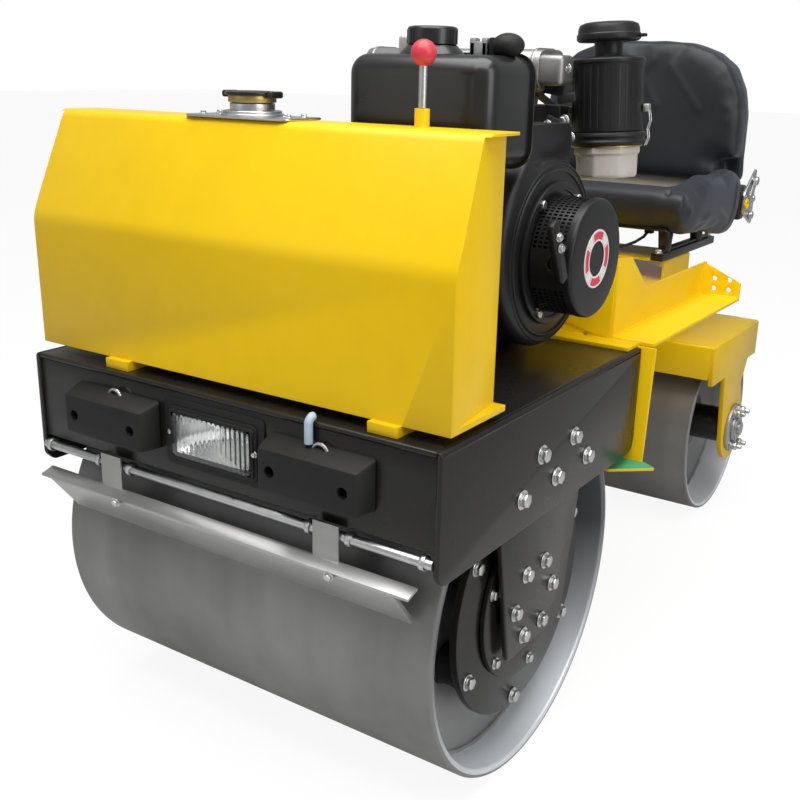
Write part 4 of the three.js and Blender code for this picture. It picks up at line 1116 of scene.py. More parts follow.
tank_low, tank_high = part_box("fuel_tank")
cap = Vector((0.161, axle_y - 0.020, tank_high.z))
shoulder_z = 1.048
middle = Vector(((tank_low.x + tank_high.x) / 2, (tank_low.y + tank_high.y) / 2,
                 (tank_low.z + shoulder_z) / 2))
shell = cuboid("fuel_tank_shell", middle, (tank_high.x - tank_low.x, tank_high.y - tank_low.y,
                                           shoulder_z - tank_low.z))
editing(True)
bpy.ops.mesh.select_all(action="SELECT")
bpy.ops.mesh.bevel(offset=0.026, segments=7, affect="EDGES", clamp_overlap=False)
bpy.ops.mesh.select_all(action="SELECT")
seam_y = axle_y + 0.012
bpy.ops.mesh.bisect(plane_co=(0, seam_y - 0.002, 0), plane_no=(0, 1, 0))
bpy.ops.mesh.select_all(action="SELECT")
bpy.ops.mesh.bisect(plane_co=(0, seam_y + 0.002, 0), plane_no=(0, 1, 0))
shaped(lambda place, way: abs(place.y - seam_y) < 0.0019 and abs(way.y) < 0.2)
bpy.ops.mesh.extrude_region_shrink_fatten(TRANSFORM_OT_shrink_fatten={"value": 0.0042})
editing(False)
edge_rounded(shell, 0.001, 2, lambda place, way: abs(abs(place.y - seam_y) - 0.002) < 0.0003 and (
    abs(place.x - middle.x) > 0.1175 or abs(place.z - middle.z) > 0.0745))
rounded(shell, 0, smooth=40)
bpy.ops.mesh.primitive_cone_add(vertices=64, radius1=0.047, radius2=0.0315, depth=0.016,
                                location=(cap.x, cap.y, 1.0545))
collar = placed("cap_collar")
rounded(collar, 0.004, 4, corner=20, smooth=60)
screw_cap = round_bar("fuel_cap", 0.0342, cap.z - 1.0615, (cap.x, cap.y, (cap.z + 1.0615) / 2), vertices=72)
edge_rounded(screw_cap, 0.0042, 4, lambda place, way: place.z > cap.z - 0.0005)
editing(True)
shaped(lambda place, way: way.z > 0.98)
bpy.ops.mesh.inset(thickness=0.004)
drawn_out((0, 0, -0.0012))
shaped(lambda place, way: abs(way.z) < 0.1 and round(math.degrees(math.atan2(place.y - cap.y,
    place.x - cap.x)) / 5) % 3 == 0)
bpy.ops.mesh.extrude_region_shrink_fatten(TRANSFORM_OT_shrink_fatten={"value": 0.0006})
editing(False)
rounded(screw_cap, 0, smooth=40)
gloss_enamel = finish("gloss_tank_enamel", {"Coat Weight": 0.2, "Coat Roughness": 0.1}, lambda place: {
    "Base Color": tint(noise(place, 8, 5), (0.006, 0.006, 0.0065), (0.014, 0.014, 0.014)),
    "Roughness": 0.2 + 0.2 * noise(place, 6, 5),
    "Normal": bump(noise(place, 170, 2) + noise(place, 20, 2), 0.05, 0.0008),
})
fitted(joined("fuel_tank_shell", [shell, collar, screw_cap]), "chassis", "engine_enamel", gloss_enamel,
       "fuel_tank")

eye_parts = []
for x, wide, top in ((0.223, 0.009, 1.0700), (0.241, 0.009, 1.0700), (0.232, 0.027, 1.0655)):
    strap = cuboid("lifting_eye", (x, axle_y - 0.012, (top + 1.0440) / 2), (wide, 0.014, top - 1.0440))
    rounded(strap, 0.002, 2)
    eye_parts.append(strap)
fitted(joined("lifting_eye", eye_parts), "chassis", "zinc", bright_alloy)
clamp = cuboid("vent_block", (0.112, axle_y - 0.010, 1.058), (0.016, 0.018, 0.028))
rounded(clamp, 0.003, 3)
fitted(clamp, "chassis", "cream_plastic", finish("milky_block", {}, lambda place: {
    "Base Color": tint(noise(place, 60, 2), (0.34, 0.33, 0.29), (0.5, 0.48, 0.43)),
    "Roughness": 0.4 + 0.1 * noise(place, 90, 2)}))
bpy.ops.mesh.primitive_uv_sphere_add(segments=40, ring_count=20, radius=0.0215, location=(0, 0, 0))
bpy.context.object.scale = (1, 1, 0.72)
bpy.context.object.location = (0.2745, axle_y - 0.014, 1.0610)
stop = placed("rubber_stop")
block = cuboid("stop_block", (0.2535, axle_y - 0.012, 1.0585), (0.010, 0.016, 0.024))
rounded(block, 0.002, 2)
rounded(stop, 0, smooth=60)
fitted(joined("rubber_stop", [stop, block]), "chassis", "rubber", rubber)


# ---------------------------------------------------------------- air cleaner
# A steel canister with a pre-cleaner cap on a short neck. A milky oil bowl is clipped under it by two wire
# clips over a rolled ring. The whole unit leans a little to the right.

foot = Vector((0.271, axle_y + 0.350, 0.866))
lean = Matrix.Translation(foot) @ Matrix.Rotation(math.radians(-3.8), 4, "Y")


def turned_up(name, profile, vertices=72):
    """A body spun round the cleaner's axis from its half outline, given as radius and height."""
    body = round_bar(name, profile[0][0], 0.001, (0, 0, profile[0][1] + 0.0005), vertices=vertices)
    editing(True)
    shaped(lambda place, way: way.z > 0.9)
    bpy.ops.transform.translate(value=(0, 0, -0.001 + 0.00001))
    radius, height = profile[0]
    for wide, high in profile[1:]:
        drawn_out((0, 0, high - height))
        if wide != radius:
            bpy.ops.transform.resize(value=(wide / radius, wide / radius, 1), center_override=(0, 0, high))
        radius, height = wide, high
    bpy.ops.mesh.select_all(action="SELECT")
    bpy.ops.mesh.remove_doubles(threshold=0.00003)
    editing(False)
    return body


canister = turned_up("air_canister", [
    (0.055, 0.0725), (0.0563, 0.074), (0.0563, 0.177), (0.0582, 0.1785), (0.0582, 0.1835), (0.054, 0.1865),
    (0.030, 0.1885),
])
seam = turned_up("air_ring", [
    (0.056, 0.052), (0.0612, 0.0535), (0.0618, 0.058), (0.0595, 0.0605), (0.0595, 0.0635), (0.0618, 0.066),
    (0.0605, 0.071), (0.057, 0.0725),
])
neck = turned_up("air_neck", [
    (0.027, 0.186), (0.0235, 0.190), (0.0225, 0.199), (0.0225, 0.2105), (0.047, 0.2110), (0.0502, 0.2140),
    (0.0502, 0.2215), (0.0485, 0.2230), (0.0480, 0.2300), (0.0455, 0.2360), (0.038, 0.2392), (0.012, 0.2400),
])
tail = cuboid("cap_tail", (0.052, 0.006, 0.2175), (0.016, 0.012, 0.005))
rounded(tail, 0.0018, 2)
ribs = []
for number in range(30):
    turn = math.radians(12 * number)
    ribs.append(cuboid("rib", (0.0561 * math.cos(turn), 0.0561 * math.sin(turn), 0.126),
                       (0.0012, 0.0035, 0.094), (0, 0, turn)))
ribs = joined("ribs", ribs)
rounded(ribs, 0.0004, 1)
for part in (canister, seam, neck):
    rounded(part, 0.0006, 2, corner=40)
cleaner = joined("air_cleaner_body", [canister, seam, neck, tail, ribs])
cleaner.data.transform(lean)
fitted(cleaner, "chassis", "engine_enamel", enamel, "air_cleaner")

milky = finish("milky_oil_bowl", {
    "Subsurface Weight": 0.35, "Subsurface Radius": (0.02, 0.017, 0.012), "Coat Weight": 0.3,
}, lambda place: {
    "Base Color": tint(noise(place, 22, 3, (1, 1, 0.4)), (0.46, 0.42, 0.37), (0.66, 0.62, 0.57)),
    "Roughness": 0.22 + 0.15 * noise(place, 50, 2),
    "Normal": bump(noise(place, 30, 3), 0.15, 0.002),
})
bowl = turned_up("oil_bowl", [
    (0.041, 0.0005), (0.0485, 0.0012), (0.0515, 0.0045), (0.0520, 0.008), (0.0530, 0.036), (0.0575, 0.040),
    (0.0575, 0.0505),
], 8)
edge_rounded(bowl, 0.004, 3, lambda place, way: abs(way.z) > 0.9 and place.z < 0.037)
rounded(bowl, 0.0006, 2, corner=40)
for corner in bowl.data.vertices:
    if corner.co.z > 0.0375 and math.hypot(corner.co.x, corner.co.y) > 0.04:
        flat = math.hypot(corner.co.x, corner.co.y)
        corner.co.x, corner.co.y = (value * (1 + 0.5 * (0.0545 / flat - 1)) for value in (corner.co.x,
                                                                                          corner.co.y))
bowl.data.transform(lean)
fitted(bowl, "chassis", "cream_plastic", milky, "air_cleaner_bowl")
band = turned_up("oil_mark", [(0.0540, 0.0485), (0.0562, 0.0492), (0.0562, 0.0512), (0.0540, 0.0516)])
band.data.transform(lean)
rounded(band, 0)
fitted(band, "chassis", "zinc", yellow_zinc)

clips = []
for turn in (math.radians(12), math.radians(172)):
    for along in (-0.008, 0.008):
        line = [(0.0600, 0.108), (0.0665, 0.104), (0.0685, 0.088), (0.0645, 0.076), (0.0662, 0.062),
                (0.0615, 0.0505)]
        for (r1, h1), (r2, h2) in zip(line, line[1:]):
            start, end = Vector((r1, along, h1)), Vector((r2, along, h2))
            way = end - start
            wire = round_bar("wire", 0.0014, way.length + 0.0015, (start + end) / 2,
                             way.to_track_quat("Z", "Y").to_euler(), vertices=12)
            rounded(wire, 0.0005, 1, corner=50)
            wire.data.transform(Matrix.Rotation(turn, 4, "Z"))
            clips.append(wire)
    hook = cuboid("hook", (0.0625, 0, 0.108), (0.010, 0.020, 0.012))
    rounded(hook, 0.0015, 2)
    hook.data.transform(Matrix.Rotation(turn, 4, "Z"))
    clips.append(hook)
clips = joined("bowl_clips", clips)
clips.data.transform(lean)
fitted(clips, "chassis", "zinc", zinc_plate)


# ---------------------------------------------------------------- muffler and belt guard
# The muffler is an aluminised steel box with rolled seams behind the cylinder; its pipe leaves to the right.
# The belt guard is a pressed cover with louvres over the drive pulley.

hot_steel = finish("aluminised_steel", {"Metallic": 0.85}, lambda place: {
    "Base Color": tint(noise(place, 9, 5), (0.26, 0.25, 0.235), (0.46, 0.46, 0.455)),
    "Roughness": 0.3 + 0.25 * noise(place, 16, 4),
    "Normal": bump(noise(place, 80, 4), 0.2, 0.0008),
})
box = welded("muffler_box", "muffler")
low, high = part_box("muffler")
seams = []
for x in (-0.128, 0.178):
    seam = cuboid("seam", (x, axle_y + 0.288, 1.031), (0.006, 0.0965, 0.0665))
    edge_rounded(seam, 0.026, 6, lambda place, way: abs(way.x) > 0.9)
    rounded(seam, 0.0015, 2)
    seams.append(seam)
rounded(box, 0.0012, 2)
end = cuboid("muffler_end", (0.208, axle_y + 0.266, 1.031), (0.044, 0.046, 0.046))
rounded(end, 0.008, 4)
seams.append(end)
fitted(joined("muffler_box", [box, *seams]), "chassis", "drum_steel", hot_steel, "muffler")

guard = welded("belt_cover", "belt_guard")
edge_rounded(guard, 0.010, 4, lambda place, way: place.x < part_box("belt_guard")[0].x + 0.0003)
rounded(guard, 0.001, 1)
louvres = []
for level in range(7):
    louvre = round_bar("louvre", 0.005, 0.090, (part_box("belt_guard")[0].x, crank_y, 0.730 + 0.016 * level),
                       lengthwise, vertices=24)
    rounded(louvre, 0.002, 2, corner=50)
    louvres.append(louvre)
fitted(joined("belt_cover", [guard, *louvres]), "chassis", "engine_enamel", enamel, "belt_guard")
bolted("belt_cover_bolts", "chassis", hex_bolt(0.013, 0.006, 0.002),
    [(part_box("belt_guard")[0].x, crank_y + y, crank_z + z) for y,
    z in ((-0.09, -0.095), (0.11, -0.095), (-0.085, 0.06), (0.07, 0.07))], (-1, 0, 0))


# ---------------------------------------------------------------- rear frame
# Cut, folded and welded yellow plate behind the engine: a wall across the machine on two posts with small
# foot plates, two side rails with end gussets, the floor plate between them and the box beam underneath.

wall = welded("rear_wall_plate", "rear_wall")
drill = round_bar("drill", 0.0035, 0.03, (0.267, axle_y + 0.325, 0.608), lengthwise, vertices=24)
modified(wall, "BOOLEAN", object=drill, operation="DIFFERENCE", solver="EXACT")
bpy.data.objects.remove(drill)
rounded(wall, 0.0012, 2)
fitted(wall, "chassis", "yellow_paint", yellow_paint, "rear_wall")

foot_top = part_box("rear_leg_left")[0].z + 0.005


def filmed_foot(place):
    """Yellow powder coat, with the green film still on the upper face of the foot plate."""
    coat = yellow_powder(place)
    height = Signal(place.tree, place.node("SeparateXYZ", {}, {"Vector": place}).socket.node.outputs["Z"])
    film = (height > foot_top - 0.0004) * (height < foot_top + 0.0006)
    green = tint(noise(place, 30, 3), (0.05, 0.36, 0.16), (0.10, 0.46, 0.24))
    coat["Base Color"] = film.node("Mix", {"data_type": "RGBA"},
                                   {0: film, 6: coat["Base Color"], 7: green}, output=2)
    return coat


film_paint = finish("yellow_coat_with_film", {"IOR": 1.33}, filmed_foot)
for node in ("rear_leg_left", "rear_leg_right"):
    edged(node + "_post", node, "chassis", "yellow_paint", film_paint, 0.0014, 2)
for node in ("side_rail_left", "side_rail_right", "floor_plate"):
    edged(node + "_sheet", node, "chassis", "yellow_paint", yellow_paint, 0.0015, 2)


def weld_run(start, end, thick):
    """A weld bead laid by hand from one point to the other."""
    way = Vector(end) - Vector(start)
    return round_bar("weld_run", thick, way.length, (Vector(start) + Vector(end)) / 2,
                     way.to_track_quat("Z", "Y").to_euler(), vertices=10)


edged("box_beam", "spine", "chassis", "yellow_paint", yellow_paint, 0.004, 3, clamp=True)
shelf_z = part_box("floor_plate")[1].z
runs = []
for side in (-1, 1):
    runs += [
        weld_run((side * 0.3125, axle_y + 0.330, shelf_z), (side * 0.3125, axle_y + 0.784, shelf_z), 0.003),
        weld_run((side * 0.3125, axle_y + 0.3285, shelf_z), (side * 0.3125, axle_y + 0.3285, 0.728), 0.0028),
        weld_run((side * 0.345, axle_y + 0.3225, 0.4015), (side * 0.345, axle_y + 0.3225, 0.598), 0.0026),
        weld_run((side * 0.322, axle_y + 0.7855, shelf_z), (side * 0.384, axle_y + 0.7855, shelf_z), 0.0026),
    ]
runs = joined("frame_welds", runs)
rounded(runs, 0)
fitted(runs, "chassis", "yellow_paint", yellow_paint)

bracket = welded("seat_bracket", "seat_base")
bracket_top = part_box("seat_base")[1].z
edge_rounded(bracket, 0.007, 4, lambda middle, way: middle.z > bracket_top - 0.0003
             and abs(middle.x) > 0.1995)
rounded(bracket, 0.0009, 1)
fitted(bracket, "chassis", "yellow_paint", yellow_paint, "seat_base")


# ---------------------------------------------------------------- rear yoke
# A cover plate with folded skirts, and two leg plates that carry the drum's flange bearings. The bearings are
# held by four nuts each. The turning collar above takes the frame's boss; the scraper is bolted on behind.

cover = welded("yoke_body", "yoke_cover")
for corner in cover.data.vertices:
    if abs(abs(corner.co.x) - 0.2897) < 0.0002:
        corner.co.x = math.copysign(0.2904, corner.co.x)
for node in ("yoke_leg_left", "yoke_leg_right"):
    leg = welded(node + "_plate", node)
    modified(cover, "BOOLEAN", object=leg, operation="UNION", solver="EXACT")
    bpy.data.objects.remove(leg)
yoke_top, yoke_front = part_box("yoke_leg_left")[1].z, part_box("yoke_leg_left")[0].y
edge_rounded(cover, 0.006, 4, lambda middle, way: (
    abs(middle.x) > 0.2995 and middle.z > yoke_top - 0.0005 and abs(way.y) > 0.9)
    or (abs(middle.x) < 0.2995 and middle.z > yoke_top - 0.0005 and abs(way.x) > 0.9
        and middle.y < yoke_front + 0.001))
rounded(cover, 0.0014, 2, corner=50)
fitted(cover, "rear_yoke", "yellow_paint", yellow_paint, "yoke_cover", "yoke_leg_left", "yoke_leg_right")

for side, node in ((1, "rear_bearing_left"), (-1, "rear_bearing_right")):
    low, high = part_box(node)
    face = low.x if side > 0 else high.x
    middle = (low + high) / 2
    parts = []
    for radius, start, length, edge in (
        (0.0585, 0, 0.0078, 0.0016), (0.034, 0.0070, 0.0075, 0.003), (0.0285, 0.0140, 0.0030, 0.0008),
        (0.0165, 0.0140, 0.0095, 0.0012),
    ):
        step = round_bar("step", radius, length, (face + side * (start + length / 2), middle.y, middle.z),
                         crosswise, vertices=64)
        rounded(step, edge, 2, corner=50)
        parts.append(step)
    fitted(joined(node + "_flange", parts), "rear_yoke", "zinc", bright_alloy, node)
    bolted(node + "_nuts", "rear_yoke", hex_bolt(0.0185, 0.0105, 0.003, 0.010),
           [(face + side * 0.0080, middle.y + across, middle.z + up)
            for across in (-0.017, 0.017) for up in (-0.041, 0.041)], (side, 0, 0))

low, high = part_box("kingpin")
collar = welded("turning_collar", "kingpin")
rounded(collar, 0.002, 2, corner=50)
seal = hoop("collar_seal", 0.0505, 0.0028, (0, rear_y, high.z - 0.0045), (0, 0, 0), 72, 10)
rounded(seal, 0)
fitted(joined("turning_collar", [collar, seal]), "rear_yoke", "black_paint", black_paint, "kingpin")

edged("rear_scraper_blade", "rear_scraper", "rear_yoke", "drum_steel", bare_steel, 0.0008, 1)
bolted("rear_scraper_bolts", "rear_yoke", hex_bolt(0.017, 0.0075, 0.0024),
       [(x, rear_y + 0.1343, 0.428) for x in (-0.21, -0.07, 0.07, 0.21)], (0, 1, 0))

edged("rear_hub", "rear_axle", "rear_roller", "black_paint", black_paint, 0.0015, 2, corner=50)


# ---------------------------------------------------------------- steering
# A raked column is bolted to the floor plate, with a three-spoked wheel on it. Below the floor a hydraulic
# cylinder on the beam swings the yoke by an arm.

base = Vector((0, axle_y + 0.470, shelf_z))
rake = math.atan2(0.592 - 0.470, 0.985 - shelf_z)
raked = Matrix.Translation(base) @ Matrix.Rotation(-rake, 4, "X")
column_length = math.hypot(0.592 - 0.470, 0.985 - shelf_z)

edged("steering_pillar", "steering_column", "chassis", "black_paint", black_paint, 0.0015, 2, corner=40)
base_up = 0.060 * math.tan(rake) + 0.012
pillar_bolts = repeated("pillar_bolts", hex_bolt(0.014, 0.007, 0.002), [
    (0.045 * math.cos(math.radians(turn)), 0.045 * math.sin(math.radians(turn)), base_up)
    for turn in (45, 135, 225, 315)], (0, 0, 1), turns=(0.2,))
pillar_bolts.data.transform(raked)
fitted(pillar_bolts, "chassis", "zinc", zinc_plate)

rim = hoop("wheel_rim", 0.160, 0.0122, (0, 0, column_length + 0.010), (0, 0, 0), 128, 20)
for corner in rim.data.vertices:
    turn = math.atan2(corner.co.y, corner.co.x)
    away = math.hypot(corner.co.x, corner.co.y) - 0.160
    grip = 1 + 0.06 * math.cos(24 * turn) * (away < 0)
    corner.co.x, corner.co.y = (
        value * (0.160 + away * grip) / (0.160 + away) for value in (corner.co.x, corner.co.y))
parts = [rim]
for turn in (90, 210, 330):
    spoke = cuboid("spoke", (0.090, 0, column_length + 0.010), (0.136, 0.020, 0.008))
    edge_rounded(spoke, 0.003, 3, lambda middle, way: abs(way.x) > 0.9)
    spoke.data.transform(Matrix.Rotation(math.radians(turn), 4, "Z"))
    parts.append(spoke)
for radius, low_z, high_z, edge in ((0.026, 0, 0.018, 0.003), (0.022, 0.018, 0.0255, 0.004)):
    step = round_bar("hub_step", radius, high_z - low_z, (0, 0, column_length + (low_z + high_z) / 2),
                     vertices=48)
    rounded(step, edge, 3, corner=50)
    parts.append(step)
wheel = joined("hand_wheel", parts)
rounded(wheel, 0, smooth=45)
wheel.data.transform(raked)
fitted(wheel, "steering_wheel", "rubber", rubber, "steering_wheel")

cylinder = welded("steering_cylinder", "ram_barrel")
rounded(cylinder, 0.0012, 2, corner=40)
low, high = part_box("ram_barrel")
glands = []
for y, wide in ((high.y - 0.010, 0.0262), (high.y - 0.262 + 0.012, 0.0262)):
    gland = round_bar("gland", wide, 0.016, (-0.165, y, 0.486), lengthwise, vertices=40)
    modified(gland, "BOOLEAN", object=cylinder, operation="DIFFERENCE", solver="EXACT")
    rounded(gland, 0, smooth=40)
    glands.append(gland)
for y in (high.y - 0.030, high.y - 0.225):
    port = round_bar("port", 0.009, 0.010, (-0.165, y, 0.486 + 0.0265), vertices=6)
    rounded(port, 0.001, 1)
    glands.append(port)
fitted(joined("steering_cylinder", [cylinder, *glands]), "chassis", "black_paint", black_paint, "ram_barrel")
edged("steering_rod", "ram_rod", "ram_rod", "zinc", zinc_plate, 0.001, 2, corner=50)


# ---------------------------------------------------------------- seat
# A foam cushion with raised wings and a rounded back, both under stretched black vinyl, on a steel pan. The
# pan stands on posts over two slide rails. Plated recliner brackets join the back to the pan's rear wall.

pan = welded("seat_frame_steel", "seat_frame")
rounded(pan, 0.0015, 2, corner=40)
rail_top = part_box("seat_base")[1].z + 0.0163
fittings = [pan]
for x in (-0.19, 0.19):
    for y in (0.885, 1.085):
        bpy.ops.mesh.primitive_cone_add(
            vertices=32, radius1=0.0125, radius2=0.0165, depth=0.712 - rail_top - 0.001,
            location=(x, axle_y + y, (0.712 + rail_top) / 2))
        post = placed("post")
        rounded(post, 0.001, 2, corner=60)
        fittings.append(post)
    slide = cuboid("slide", (x, axle_y + 1.005, rail_top + 0.0035), (0.016, 0.290, 0.007))
    rounded(slide, 0.0015, 2)
    fittings.append(slide)
fitted(joined("seat_frame_steel", fittings), "chassis", "black_paint", black_paint, "seat_frame")
bolted("rail_bolts", "chassis", hex_bolt(0.013, 0.006, 0.002),
       [(x, axle_y + y, rail_top) for x in (-0.19, 0.19) for y in (0.8515, 1.168)], (0, 0, 1))

line = [Vector((0.150, axle_y + y, z)) for y, z in (
    (0.640, 0.6965), (0.700, 0.6915), (0.760, 0.6895), (0.815, 0.6905), (0.862, 0.696), (0.890, 0.706))]
links = []
for start, end in zip(line, line[1:]):
    way = end - start
    links.append(round_bar("lead", 0.0032, way.length + 0.001, (start + end) / 2,
                           way.to_track_quat("Z", "Y").to_euler(), vertices=14))
clip = cuboid("clip", (0.150, axle_y + 0.893, 0.706), (0.018, 0.016, 0.012))
rounded(clip, 0.002, 2)
stand = round_bar("stand", 0.0045, 0.096, (0.150, axle_y + 0.640, 0.652), vertices=16)
rounded(stand, 0.0008, 1, corner=50)
lead = joined("seat_switch_rod", [*links, clip, stand])
bpy.ops.object.select_all(action="DESELECT")
lead.select_set(True)
bpy.ops.object.shade_smooth()
fitted(lead, "chassis", "black_paint", rubber)


def stretched_vinyl(place):
    creases = noise(place, 9, 4, (1, 0.5, 1.6))
    grain = place.node("TexVoronoi", {}, {"Vector": place, "Scale": 620}, output="Distance")
    return {
        "Base Color": tint(noise(place, 6, 4), (0.008, 0.0088, 0.0105), (0.020, 0.0215, 0.025)),
        "Roughness": 0.36 + 0.16 * noise(place, 12, 4),
        "Normal": bump(grain * 0.35 + creases * 3.0, 0.16, 0.0016),
    }


vinyl = finish("stretched_black_vinyl", {"IOR": 1.42, "Sheen Weight": 0.12, "Sheen Roughness": 0.5,
                                         "Sheen Tint": (0.7, 0.8, 1, 1)}, stretched_vinyl)


def stuffed(name, form, voxel=0.006, cap=0.009, pressure=4):
    """The form as a stuffed cover, remeshed evenly and blown up by a cloth simulation, at most by the cap."""
    pad = bpy.data.objects.new(name, form.data.copy())
    bpy.context.scene.collection.objects.link(pad)
    bpy.data.objects.remove(form)
    modified(pad, "REMESH", mode="VOXEL", voxel_size=voxel)
    modified(pad, "SMOOTH", factor=0.8, iterations=6)
    rest = [corner.co.copy() for corner in pad.data.vertices]
    chosen(pad)
    cloth = pad.modifiers.new("cover", "CLOTH")
    cloth.settings.quality = 4
    cloth.settings.use_pressure = True
    cloth.settings.uniform_pressure_force = pressure
    cloth.settings.effector_weights.gravity = 0
    cloth.point_cache.frame_start, cloth.point_cache.frame_end = 1, 20
    for moment in range(1, 21):
        bpy.context.scene.frame_set(moment)
    bpy.ops.object.modifier_apply(modifier=cloth.name)
    bpy.context.scene.frame_set(1)
    for corner, start in zip(pad.data.vertices, rest):
        move = corner.co - start
        if move.length > 1e-6:
            corner.co = start + move * (cap * math.tanh(move.length / cap) / move.length)
    modified(pad, "SMOOTH", factor=0.6, iterations=8)
    return pad


def creased(pad, line, depth, wide, side):
    """Presses a seam or a fold along a line of points into what faces side; a negative depth raises it."""
    count = len(pad.data.vertices)
    places, ways = np.empty(count * 3), np.empty(count * 3)
    pad.data.vertices.foreach_get("co", places)
    pad.data.vertices.foreach_get("normal", ways)
    places, ways, away = places.reshape(-1, 3), ways.reshape(-1, 3), np.ones(count)
    for start, end in zip(line, line[1:]):
        start, along = np.array(start), np.array(end) - np.array(start)
        share = np.clip((places - start) @ along / (along @ along), 0, 1)
        away = np.minimum(away, np.linalg.norm(places - start - share[:, None] * along, axis=1))
    push = depth * np.exp(-(away / wide) ** 2) * (ways @ np.array(side) > 0.1)
    pad.data.vertices.foreach_set("co", (places - ways * push[:, None]).ravel())
    pad.data.update()


def shrunk(name, node, by):
    """The CAD form drawn in all round, so that it can swell back to its size."""
    form = welded(name, node)
    low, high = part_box(node)
    size = high - low
    chosen(form)
    editing(True)
    bpy.ops.mesh.select_all(action="SELECT")
    bpy.ops.transform.resize(
        value=tuple(1 - 2 * inset / length for inset, length in zip(by, size)),
        center_override=(low + high) / 2)
    editing(False)
    return form


cushion = stuffed("seat_cushion_pad", shrunk("cushion_form", "seat_cushion", (0.003, 0.002, 0.003)))
modified(cushion, "SUBSURF", levels=1, render_levels=1)
pan_top, wing_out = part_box("seat_frame")[1].z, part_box("seat_cushion")[1].x
for side in (-1, 1):
    creased(cushion, [(side * 0.247, axle_y + y, z) for y, z in (
        (0.835, 0.784), (0.880, 0.800), (0.950, 0.818), (1.040, 0.824), (1.140, 0.824), (1.190, 0.800))],
            0.0035, 0.0035, (side, 0, 0.3))
    creased(cushion, [(side * 0.205, axle_y + y, z) for y, z in (
        (0.825, 0.795), (1.000, 0.790), (1.130, 0.772))], 0.005, 0.005, (0, 0, 1))
    for fold in (
        ((0.850, 0.755), (0.872, 0.790), (0.900, 0.812)),
        ((0.900, 0.720), (0.960, 0.742), (1.030, 0.740), (1.090, 0.716)),
        ((1.100, 0.690), (1.135, 0.735), (1.140, 0.790)),
        ((1.150, 0.700), (1.172, 0.745), (1.165, 0.800)),
    ):
        creased(cushion, [(side * 0.256, axle_y + y, z) for y, z in fold], -0.0035, 0.009, (side, 0, 0))
creased(cushion, [(-0.205, axle_y + 0.808, 0.786), (0.205, axle_y + 0.808, 0.786)], 0.003, 0.003,
        (0, -1, 0.2))
for corner in cushion.data.vertices:
    if (abs(corner.co.x) < 0.204 and corner.co.z < pan_top + 0.0006
            and axle_y + 0.848 < corner.co.y < axle_y + 1.219):
        corner.co.z = pan_top + 0.0006
    if corner.co.y > axle_y + 1.196 and abs(corner.co.x) > wing_out - 0.0006:
        corner.co.x = math.copysign(wing_out - 0.0006, corner.co.x)
rounded(cushion, 0, smooth=80)
fitted(cushion, "chassis", "seat_vinyl", vinyl, "seat_cushion")

back = stuffed("seat_back_pad", shrunk("back_form", "seat_back", (0, 0.006, 0.001)))
modified(back, "SUBSURF", levels=1, render_levels=1)
for side in (-1, 1):
    creased(back, [(side * x, axle_y + 1.128, z) for x, z in (
        (0.205, 1.075), (0.186, 1.045), (0.182, 1.010), (0.188, 0.970), (0.199, 0.930), (0.206, 0.880))],
        0.006, 0.004, (0, -1, 0))
    for fold in (
        ((0.213, 1.040), (0.211, 1.000), (0.216, 0.960)),
        ((0.232, 1.030), (0.241, 0.990), (0.240, 0.945)),
        ((0.075, 1.045), (0.110, 1.000), (0.146, 0.955)),
        ((0.030, 1.060), (-0.015, 1.010), (-0.045, 0.960)),
        ((0.225, 0.930), (0.236, 0.905), (0.232, 0.875)),
    ):
        creased(back, [(side * x, axle_y + 1.128, z) for x, z in fold], -0.0032, 0.010, (0, -1, 0))
creased(back, [(-0.20, axle_y + 1.244, 0.86), (-0.20, axle_y + 1.244, 1.05), (0.20, axle_y + 1.244, 1.05),
               (0.20, axle_y + 1.244, 0.86)], 0.004, 0.004, (0, 1, 0))
for corner in back.data.vertices:
    if corner.co.z < 0.835 and abs(corner.co.x) > wing_out - 0.0008:
        corner.co.x = math.copysign(wing_out - 0.0008, corner.co.x)
rounded(back, 0, smooth=80)
fitted(back, "chassis", "seat_vinyl", vinyl, "seat_back")

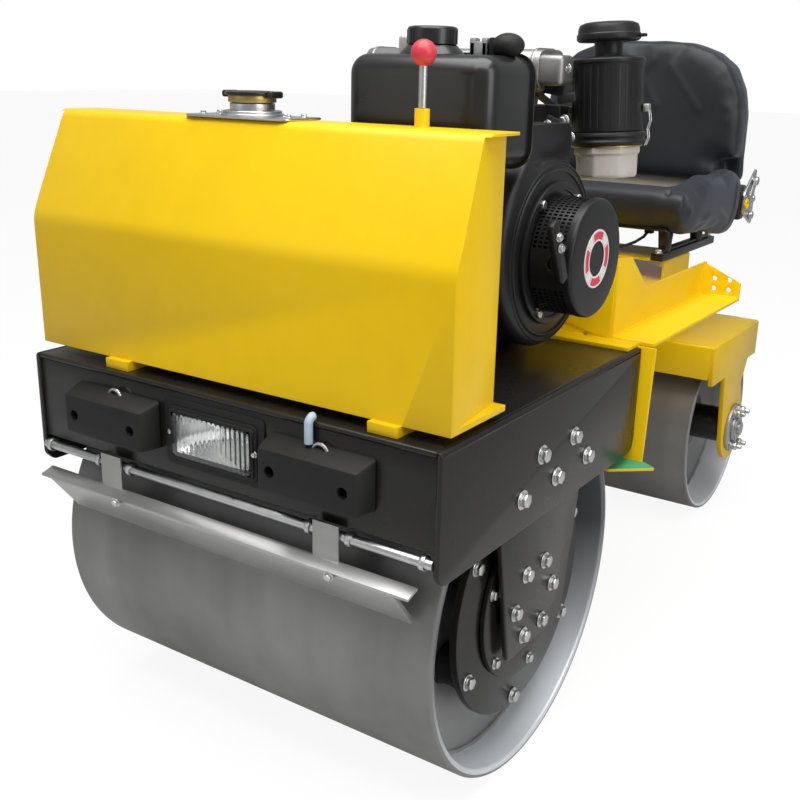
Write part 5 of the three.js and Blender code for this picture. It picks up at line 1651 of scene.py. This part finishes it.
shell_board = cuboid("seat_shell_board", (0, axle_y + 1.176, 0.767), (0.390, 0.012, 0.078))
rounded(shell_board, 0.004, 3)
fitted(shell_board, "chassis", "cream_plastic", finish("bare_seat_shell", {}, lambda place: {
    "Base Color": tint(noise(place, 14, 5, (0.3, 1, 3)), (0.50, 0.43, 0.32), (0.66, 0.60, 0.49)),
    "Roughness": 0.5 + 0.2 * noise(place, 40, 3)}))

hinge_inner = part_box("seat_hinge_left")[0].x
pan_wall = cuboid("seat_pan_wall", (0, axle_y + 1.2185, 0.745), (2 * hinge_inner - 0.0004, 0.033, 0.080))
rounded(pan_wall, 0.006, 3)
fitted(pan_wall, "chassis", "black_paint", black_paint)

for side, node in ((1, "seat_hinge_left"), (-1, "seat_hinge_right")):
    low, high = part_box(node)
    middle = (low + high) / 2
    plate = cuboid(node + "_plate", middle, (high.x - low.x, high.y - low.y, high.z - low.z))
    for corner in plate.data.vertices:
        if corner.co.y < middle.y:
            corner.co.z = 0.766 if corner.co.z > middle.z else 0.722
    edge_rounded(plate, 0.011, 5, lambda place, way: abs(way.x) > 0.9)
    editing(True)
    shaped(lambda place, way: way.x * side > 0.9)
    bpy.ops.mesh.inset(thickness=0.005)
    drawn_out((-side * 0.0015, 0, 0))
    editing(False)
    rounded(plate, 0.0008, 2)
    parts = [plate]
    outer = high.x if side > 0 else low.x
    for y, z, radius, length in (
        (middle.y + 0.022, 0.792, 0.010, 0.012), (middle.y + 0.014, 0.752, 0.008, 0.010),
        (middle.y + 0.022, 0.712, 0.009, 0.008),
    ):
        pin = round_bar("pin", radius, length, (outer + side * length / 2 - side * 0.001, y, z), crosswise)
        rounded(pin, 0.0015, 2, corner=50)
        parts.append(pin)
    arm = cuboid("arm", (outer + side * 0.006, middle.y + 0.006, 0.776), (0.003, 0.018, 0.060),
                 (math.radians(-40), 0, 0))
    edge_rounded(arm, 0.008, 5, lambda place, way: abs(way.x) > 0.9)
    rounded(arm, 0.0006, 1)
    parts.append(arm)
    fitted(joined(node + "_plate", parts), "chassis", "zinc", zinc_plate, node)
    ring = hoop("hinge_bush_" + node[-5:].strip("_"), 0.0095, 0.0032,
                (outer + side * 0.002, middle.y - 0.022, 0.742), crosswise, 36, 12)
    rounded(ring, 0)
    fitted(ring, "chassis", "zinc", yellow_paint)
